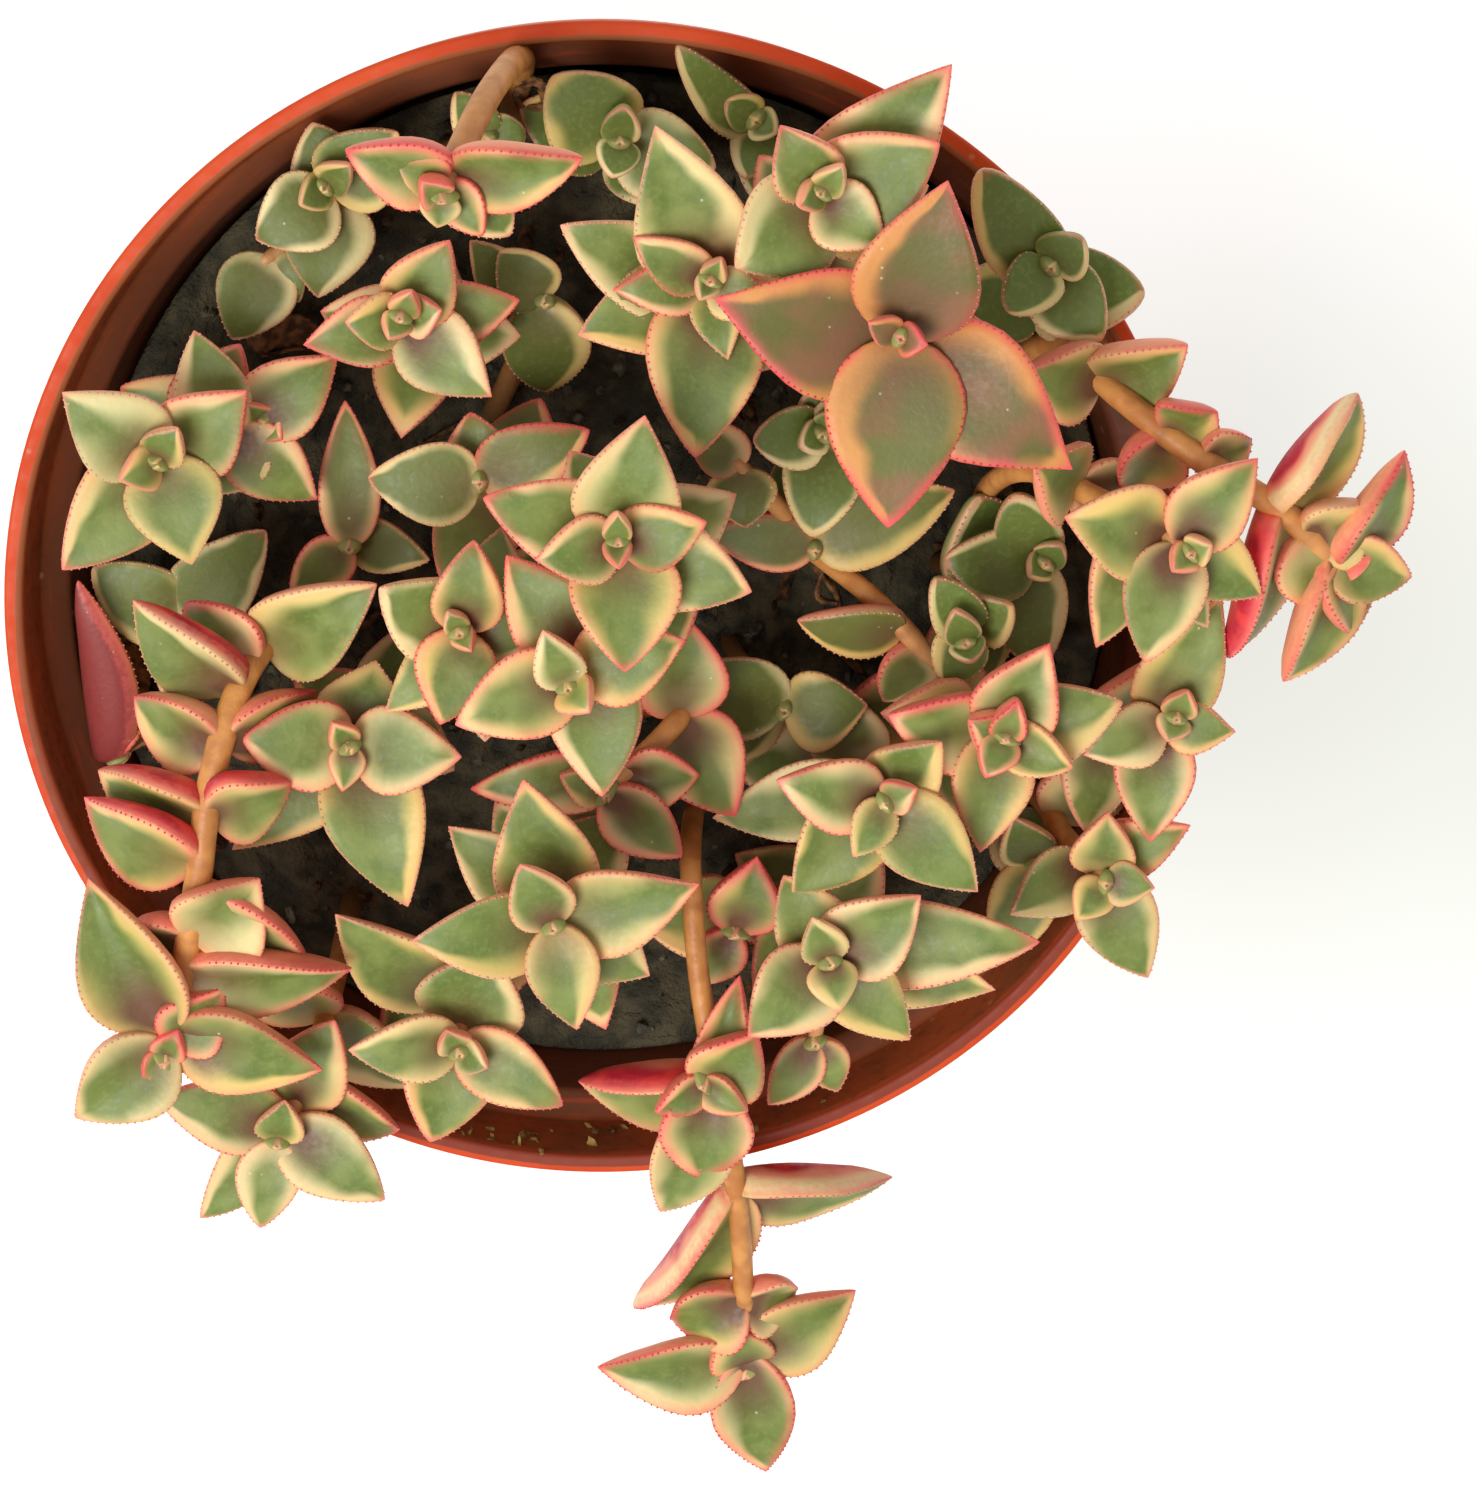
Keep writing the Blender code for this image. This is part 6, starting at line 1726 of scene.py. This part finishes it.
def stem_surface(route, radius, rings_at, swelling):
    """A stem's skin: a circle carried along its route, r (1 + swelling at each pair), thinner at the tip.

    Gives the points, faces and the stem_place attribute: mm above the soil, ring mask and freshness.
    """
    path, lengths = rail(route, STEM_RING_STEP)
    back = lengths[-1] - lengths
    from_pair = back[:, None] - np.array(rings_at)[None, :]
    near, scar = [np.clip(np.exp(-(from_pair / reach) ** 2).sum(axis=1), 0.0, 1.0)
                  for reach in (SWELLING_REACH, SCAR_REACH)]
    taper = np.clip(0.62 + 0.38 * back / THIN_END, 0.0, 1.0)
    size = radius * taper * (1.0 + swelling * near)
    angle = turn_angles(STEM_COLUMNS)
    first, second = carried_frame(path)
    circle = (np.cos(angle)[None, :, None] * first[:, None]
              + np.sin(angle)[None, :, None] * second[:, None])
    skin = path[:, None] + size[:, None, None] * circle
    ends = np.stack([path[0], path[-1] + unit(path[-1] - path[-2]) * 0.5 * size[-1]])
    points = np.concatenate([skin.reshape(-1, 3), ends])
    quads, fans = grid_faces(len(path), STEM_COLUMNS)
    soil = RIM_HEIGHT - SOIL_BELOW_RIM
    fresh = np.clip(1.0 - back / FRESH_END, 0.0, 1.0)
    rows = np.stack([(path[:, 2] - soil) / MM, scar, fresh], axis=-1)
    place = np.concatenate([np.repeat(rows, STEM_COLUMNS, axis=0), rows[:1], rows[-1:]])
    return points, quads, fans, place


class CRASSULA_OT_stems(bpy.types.Operator):
    """Grow the stems along their routes, swollen and ringed at each pair of leaves"""
    bl_idname = "crassula.stems"
    bl_label = "Stems"

    def execute(self, context):
        """Makes the stems."""
        looks = context.scene.crassula_stem
        finish = stem_finish(looks)
        routes, leaves = plant()
        for number, stem in enumerate(STEMS):
            parts = []
            for order in range(len(stem.shoots)):
                route = routes[number, order]
                rings_at = sorted({self.below(route, leaf) for leaf in leaves
                                   if leaf["owner"] == number and leaf["order"] == order})
                radius = stem.radius * MM * (1.0 if order == 0 else BRANCH_SHARE)
                parts.append(stem_surface(route, radius, rings_at or [0.0], looks.swelling))
            piece = new_piece(stem.name.replace("leafy_stem", "stem"), *joined(parts), [finish],
                              {"stem_place": np.concatenate([part[3] for part in parts])})
            stand_for(piece, "succulent_" + stem.tone, stem.name)
        return {"FINISHED"}

    def below(self, route, leaf):
        """How far from the stem's tip a leaf grows: the distance at which the route passes its base."""
        fine, lengths = rail(route, 0.5 * MM)
        nearest = np.argmin(np.linalg.norm(fine - leaf["base"], axis=1))
        return round(float(lengths[-1] - lengths[nearest]), 5)


def outline(t, point=1.0):
    """A leaf's half width at each share t of its length: sin(pi t^peak)^taper and a neck at its base.

    It is the solids' formula with a finer point, and blunter where point is under 1.
    """
    inside = np.clip(t, 0.0, 1.0)
    swell = np.maximum(np.sin(math.pi * inside ** LEAF_PEAK), 0.0) ** (LEAF_TAPER * point)
    return swell + LEAF_NECK * (1.0 - inside) ** 4


def leaf_sets(leaves, tone, looks, rng):
    """The leaves' numbers as arrays, with each leaf's own seeded bends."""
    base = np.array([leaf["base"] for leaf in leaves])
    tip = np.array([leaf["tip"] for leaf in leaves])
    normal = np.array([leaf["normal"] for leaf in leaves])
    length = np.linalg.norm(tip - base, axis=1)
    along = unit_rows(tip - base)
    side = unit_rows(np.cross(along, normal))
    size = np.minimum(1.0, 0.45 + 0.55 * length / FULL_THICKNESS_LENGTH)
    bends = {key: rng.uniform(*limits, len(leaves)) for key, limits in LEAF_BENDS.items()}
    return {**bends, "base": base, "length": length, "along": along, "side": side,
            "face": np.cross(side, along), "width": np.array([leaf["width"] for leaf in leaves]),
            "size": size, "depth": LEAF_THICKNESS * looks.plumpness * tone.plump * size,
            "cup": tone.fold * bends["cup"], "twist": np.radians(bends["twist"]),
            "point": tone.point * bends["point"]}


def leaf_skin(given, t, angle):
    """Points of the leaves' skins at shares t along and angles round the section, for arrays of leaves.

    With u = cos a across and s = sin a, the half width h follows the outline. The middle line rises by a
    bow and a curve in t, the edges rise by cup h |u|^1.4, the face swells above by puff s^0.6 and the keel
    hangs below by depth |s|^0.8, both thinner towards the ends. The section is turned by a twist that grows
    with t.
    """
    def each(key):
        """One number for each leaf, to go with all its points."""
        return given[key].reshape((-1,) + (1,) * t.ndim)

    length = each("length")
    shape = outline(t, each("point"))
    half = 0.5 * each("width") * shape
    u, s = np.cos(angle), np.sin(angle)
    thin = np.clip(shape / 0.45, 0.0, 1.0) ** 0.8
    depth = each("depth") * (0.55 + 0.45 * np.sin(math.pi * np.minimum(1.0, t + 0.15))) * thin
    puff = (0.22 * each("depth") + 0.10 * MM) * thin
    across = half * u
    rise = each("cup") * half * np.abs(u) ** 1.4
    rise = rise + each("wave") * half * u * np.sin(2.5 * math.pi * t + each("phase"))
    lift = rise + puff * np.maximum(s, 0.0) ** 0.6 - depth * np.maximum(-s, 0.0) ** 0.8
    turn = each("twist") * (t - 0.3)
    across, lift = (across * np.cos(turn) - lift * np.sin(turn),
                    across * np.sin(turn) + lift * np.cos(turn))
    across = across + each("sway") * length * t * (1.0 - t)
    lift = lift + LEAF_BOW * length * np.sin(math.pi * t) + each("curve") * length * t * (1.0 - t)
    rows = (-1,) + (1,) * t.ndim + (3,)
    return (given["base"].reshape(rows)
            + given["along"].reshape(rows) * (t * length)[..., None]
            + given["side"].reshape(rows) * across[..., None]
            + given["face"].reshape(rows) * lift[..., None])


def edge_distance(given, t, u):
    """How far points of the flat outline at (t, u) are from its edge.

    The first is in mm for a leaf of full size, the second a share of the half width.
    """
    length = given["length"][:, None, None]
    half = 0.5 * given["width"][:, None, None]
    point = given["point"][:, None, None]
    edge_t = np.linspace(0.0, 1.0, 90) ** 0.8
    edge = np.stack([edge_t * length[..., 0], outline(edge_t, point[..., 0]) * half[..., 0]], axis=-1)
    x = (t * length).reshape(len(length), -1)
    y = np.abs(u * outline(t, point) * half).reshape(len(length), -1)
    gap = np.hypot(x[..., None] - edge[:, None, :, 0], y[..., None] - edge[:, None, :, 1]).min(axis=-1)
    return gap / (given["size"][:, None] * MM), gap / half[..., 0]


def leaf_surfaces(given, tones):
    """All the leaves' skins in one set of arrays, with their attributes."""
    rows = 0.5 - 0.5 * np.cos(math.pi * np.arange(LEAF_ROWS) / LEAF_ROWS)
    t = np.repeat(rows[:, None], LEAF_COLUMNS, axis=1)
    angle = np.repeat(turn_angles(LEAF_COLUMNS)[None], LEAF_ROWS, axis=0)
    skin = leaf_skin(given, t, angle)
    count = len(skin)
    tip = given["base"] + given["along"] * given["length"][:, None]
    root = given["base"] - given["along"] * ROOT_SUNK
    points = np.concatenate([skin.reshape(count, -1, 3), root[:, None], tip[:, None]], axis=1)
    gap_mm, gap_share = edge_distance(given, t, np.cos(angle))
    grid = np.stack([np.cos(angle), t, np.sin(angle)], axis=-1).reshape(-1, 3)
    place = np.concatenate([grid, [[0.0, 0.0, 0.0], [0.0, 1.0, 0.0]]])
    place = np.repeat(place[None], count, axis=0)
    ends = np.zeros((count, 2))
    ends[:, 0] = given["width"] * 0.3 / MM
    edge = np.stack([np.concatenate([gap_mm, ends], axis=1),
                     np.concatenate([gap_share, ends * 0.1], axis=1),
                     np.zeros((count, gap_mm.shape[1] + 2))], axis=-1)
    each = points.shape[1]
    quads, fans = grid_faces(LEAF_ROWS, LEAF_COLUMNS)
    faces = [repeated(quads[:, ::-1], count, each), repeated(fans[:, ::-1], count, each)]
    attributes = {"leaf_place": place.reshape(-1, 3), "leaf_edge": edge.reshape(-1, 3)}
    for label, columns in (("leaf_tone", (0, 1, 2)), ("leaf_skin", (3, 4, 5))):
        attributes[label] = np.repeat(tones[:, columns], each, axis=0)
    return points.reshape(-1, 3), faces, attributes


def edge_dots(given, tones, looks, rng):
    """Small raised dots in a row along both edges of each leaf, nearly evenly spaced."""
    ball = np.array([(1, 0, 0), (0, 1, 0), (-1, 0, 0), (0, -1, 0), (0, 0, 1), (0, 0, -1)], dtype=float)
    sides = np.array([(0, 1, 4), (1, 2, 4), (2, 3, 4), (3, 0, 4),
                      (1, 0, 5), (2, 1, 5), (3, 2, 5), (0, 3, 5)])
    centres, owners = [], []
    t = np.linspace(DOTS_FROM, DOTS_TO, 60)
    for index in range(len(given["base"])):
        one = {key: value[index:index + 1] for key, value in given.items()}
        if one["length"][0] < DOTTED_LENGTH:
            continue
        for angle in (DOT_ANGLE, math.pi - DOT_ANGLE):
            edge = leaf_skin(one, t, np.full(len(t), angle))[0]
            lengths = distances(edge)
            wanted = np.arange(0.5 * looks.dot_spacing, lengths[-1], looks.dot_spacing)
            wanted = wanted + rng.uniform(-0.1, 0.1, len(wanted)) * looks.dot_spacing
            row = [np.interp(wanted, lengths, edge[:, axis]) for axis in range(3)]
            centres.append(np.stack(row, axis=-1))
            owners += [index] * len(wanted)
    centres = np.concatenate(centres)
    size = looks.dot_size * rng.uniform(0.75, 1.15, (len(centres), 1, 1))
    points = centres[:, None] + ball[None] * size
    tone = np.repeat(tones[owners][:, :3], len(ball), axis=0)
    return points.reshape(-1, 3), repeated(sides, len(centres), len(ball)), tone


class CRASSULA_OT_leaves(bpy.types.Operator):
    """Grow the leaves of every stem, with the row of dots along their edges"""
    bl_idname = "crassula.leaves"
    bl_label = "Leaves"

    def execute(self, context):
        """Makes the leaves and their dots."""
        looks = context.scene.crassula_leaf
        finishes = [leaf_finish(looks), dot_finish(looks)]
        leaves = plant()[1]
        for number, stem in enumerate(STEMS):
            rng = np.random.default_rng(LOOKS_SEED + number)
            own = [leaf for leaf in leaves if leaf["owner"] == number]
            own += self.buds(number, stem, own)
            tone = LEAF_TONES["olive" if stem.name in OLIVE_STEMS else stem.tone]
            given = leaf_sets(own, tone, looks, rng)
            tones = self.tones(tone, own, rng)
            closed = np.array(["rank" not in leaf for leaf in own])
            tones[closed, :2] *= BUD_PALENESS
            tones[closed, 3:5] = 0.0
            sunned = SUNNED.get(stem.name, {})
            for row, leaf in enumerate(own):
                if leaf.get("order") == 0:
                    tones[row, 4] = sunned.get(leaf["rank"], tones[row, 4])
            points, faces, attributes = leaf_surfaces(given, tones)
            dots, dot_faces, dot_tone = edge_dots(given, tones, looks, rng)
            skin_count = sum(len(group) for group in faces)
            faces.append(dot_faces + len(points))
            for label in attributes:
                extra = dot_tone if label == "leaf_tone" else np.zeros((len(dots), 3))
                attributes[label] = np.concatenate([attributes[label], extra])
            shares = np.concatenate([np.zeros(skin_count), np.ones(len(dot_faces))])
            piece = new_piece(stem.name.replace("leafy_stem", "leaves"), np.concatenate([points, dots]),
                              faces, finishes, attributes, shares)
            stand_for(piece, "succulent_" + stem.tone, stem.name)
        return {"FINISHED"}

    def buds(self, number, stem, leaves):
        """The closed pair at each shoot's tip, crosswise to the youngest open pair."""
        routes = plant()[0]
        closed = []
        for order, shoot in enumerate(stem.shoots):
            youngest = [leaf for leaf in leaves if leaf["order"] == order and leaf["rank"] == 0]
            if not youngest or shoot.leaves[0][0] > 0:
                continue
            upward = unit(np.array(shoot.faces, dtype=float))
            aside = unit(np.cross(upward, youngest[0]["tip"] - youngest[0]["base"]))
            for way in (aside, -aside):
                base = routes[number, order][-1]
                closed.append({"base": base, "tip": base + unit(upward + BUD_OPENING * way) * BUD_LENGTH,
                               "normal": unit(BUD_OPENING * upward - way), "width": BUD_WIDTH})
        return closed

    def tones(self, tone, leaves, rng):
        """One row for each leaf: its stem's tone with seeded changes, then a number of its own."""
        rows = np.repeat(np.array([tone[:5]]), len(leaves), axis=0)
        rows = rows * (1.0 + np.array(TONE_SPREAD) * rng.uniform(-1.0, 1.0, rows.shape))
        rows = rows + rng.uniform(-0.03, 0.03, rows.shape)
        return np.concatenate([np.clip(rows, 0.0, 1.0), rng.uniform(0.0, 1.0, (len(leaves), 1))], axis=1)


def soft_lamp(name, place, aim, size, power):
    """A large square lamp that faces the point it is aimed at."""
    data = bpy.data.lights.new(name, "AREA")
    data.shape = "SQUARE"
    data.size = size
    data.energy = power
    lamp = bpy.data.objects.new(name, data)
    bpy.context.scene.collection.objects.link(lamp)
    toward = unit(np.array(place) - np.array(aim))
    side, up = ring_frame(toward)
    rows = np.stack([side, up, toward, np.array(place)], axis=1)
    lamp.matrix_world = Matrix([list(row) for row in rows] + [[0.0, 0.0, 0.0, 1.0]])


class CRASSULA_OT_stage(bpy.types.Operator):
    """Set the camera, the pale floor and the soft light"""
    bl_idname = "crassula.stage"
    bl_label = "Stage"

    def execute(self, context):
        """Makes the stage."""
        looks = context.scene.crassula_stage
        self.camera(context)
        self.floor(looks)
        world = bpy.data.worlds.new("pale_surroundings")
        world.use_nodes = True
        sky = world.node_tree.nodes["Background"]
        sky.inputs["Color"].default_value = SKY_COLOUR
        sky.inputs["Strength"].default_value = looks.sky
        context.scene.world = world
        soft_lamp("window", LAMP_PLACE, (0.0, 0.0, RIM_HEIGHT), LAMP_SIZE, looks.key)
        context.scene.view_settings.view_transform = "Standard"
        context.scene.cycles.max_bounces = 4
        context.scene.cycles.diffuse_bounces = 3
        context.scene.view_settings.exposure = looks.exposure
        return {"FINISHED"}

    def camera(self, context):
        """The named view: its directions are the camera's, and its scale gives the lens."""
        data = bpy.data.cameras.new("camera")
        data.sensor_fit = "VERTICAL"
        data.sensor_height = SENSOR_HEIGHT_MM
        data.lens = VIEW_UNITS_PER_METRE * VIEW_DISTANCE * SENSOR_HEIGHT_MM / IMAGE_HEIGHT
        data.clip_start = 0.01
        camera = bpy.data.objects.new("camera", data)
        context.scene.collection.objects.link(camera)
        rows = np.stack([*view_axes(), view_eye()], axis=1)
        camera.matrix_world = Matrix([list(row) for row in rows] + [[0.0, 0.0, 0.0, 1.0]])
        context.scene.camera = camera

    def floor(self, looks):
        """A plain pale floor with soft blotches, and a soft shade beside and round the pot."""
        corners = [(-1.0, -1.0, 0.0), (1.0, -1.0, 0.0), (1.0, 1.0, 0.0), (-1.0, 1.0, 0.0)]
        points = FLOOR_REACH * np.array(corners)
        made, nodes, shader = new_finish("pale_floor", Roughness=0.6)
        mottle = placed(nodes, mottle_group(), Size_mm=FLOOR_BLOTCHES)
        shade = nodes.blend(nodes.times(mottle["Blotches"], 0.06), looks.floor, looks.floor_mark)
        nodes.feed(shader.inputs["Base Color"], shade)
        lit = (1.0, 1.0, 1.0)
        for shape, colour in ((SHADE_BESIDE_POT, looks.floor_shade),
                              (SHADE_ROUND_POT, looks.floor_contact)):
            lit = nodes.blend(self.shade(nodes, *shape), lit, colour)
        nodes.feed(shader.inputs["Emission Color"], lit)
        shader.inputs["Emission Strength"].default_value = looks.floor_light
        floor = new_piece("floor", points, [np.array([[0, 1, 2, 3]])], [made], smooth=False)

    def shade(self, nodes, stretch, middle, starts, full):
        """How strong a shade is: its middle and its reach are in the floor's stretched coordinates."""
        place = nodes.node("ShaderNodeVectorMath", {0: nodes.place(), 1: stretch}, operation="MULTIPLY")
        away = nodes.node("ShaderNodeVectorMath", {0: place.outputs[0], 1: middle}, operation="DISTANCE")
        return nodes.step(away.outputs["Value"], starts, full)


OPERATORS = (CRASSULA_OT_stage, CRASSULA_OT_pot, CRASSULA_OT_soil, CRASSULA_OT_grit, CRASSULA_OT_stems,
             CRASSULA_OT_leaves, CRASSULA_OT_litter)
SETTINGS = {"crassula_pot": PotLooks, "crassula_soil": SoilLooks, "crassula_stem": StemLooks,
            "crassula_leaf": LeafLooks, "crassula_stage": StageLooks}


class CRASSULA_PT_panel(bpy.types.Panel):
    """Lists the pieces and their settings"""
    bl_idname = "CRASSULA_PT_panel"
    bl_label = "Crassula"
    bl_space_type = "VIEW_3D"
    bl_region_type = "UI"
    bl_category = "Crassula"

    def draw(self, context):
        """Draws a button for each piece and a box for each group of settings."""
        for operator in OPERATORS:
            self.layout.operator(operator.bl_idname)
        for label in SETTINGS:
            box = self.layout.box()
            box.label(text=label.replace("crassula_", "").capitalize())
            settings = getattr(context.scene, label)
            for name in settings.bl_rna.properties.keys():
                if name not in ("rna_type", "name"):
                    box.prop(settings, name)


def register():
    """Adds the settings, the operators and the panel."""
    for made in (*SETTINGS.values(), *OPERATORS, CRASSULA_PT_panel):
        bpy.utils.register_class(made)
    for label, settings in SETTINGS.items():
        setattr(bpy.types.Scene, label, PointerProperty(type=settings))


def unregister():
    """Takes them away again."""
    for label in SETTINGS:
        delattr(bpy.types.Scene, label)
    for made in reversed((*SETTINGS.values(), *OPERATORS, CRASSULA_PT_panel)):
        bpy.utils.unregister_class(made)


def main():
    """Builds every piece."""
    register()
    for operator in OPERATORS:
        getattr(bpy.ops.crassula, operator.bl_idname.split(".")[1])()


if __name__ == "__main__":
    main()
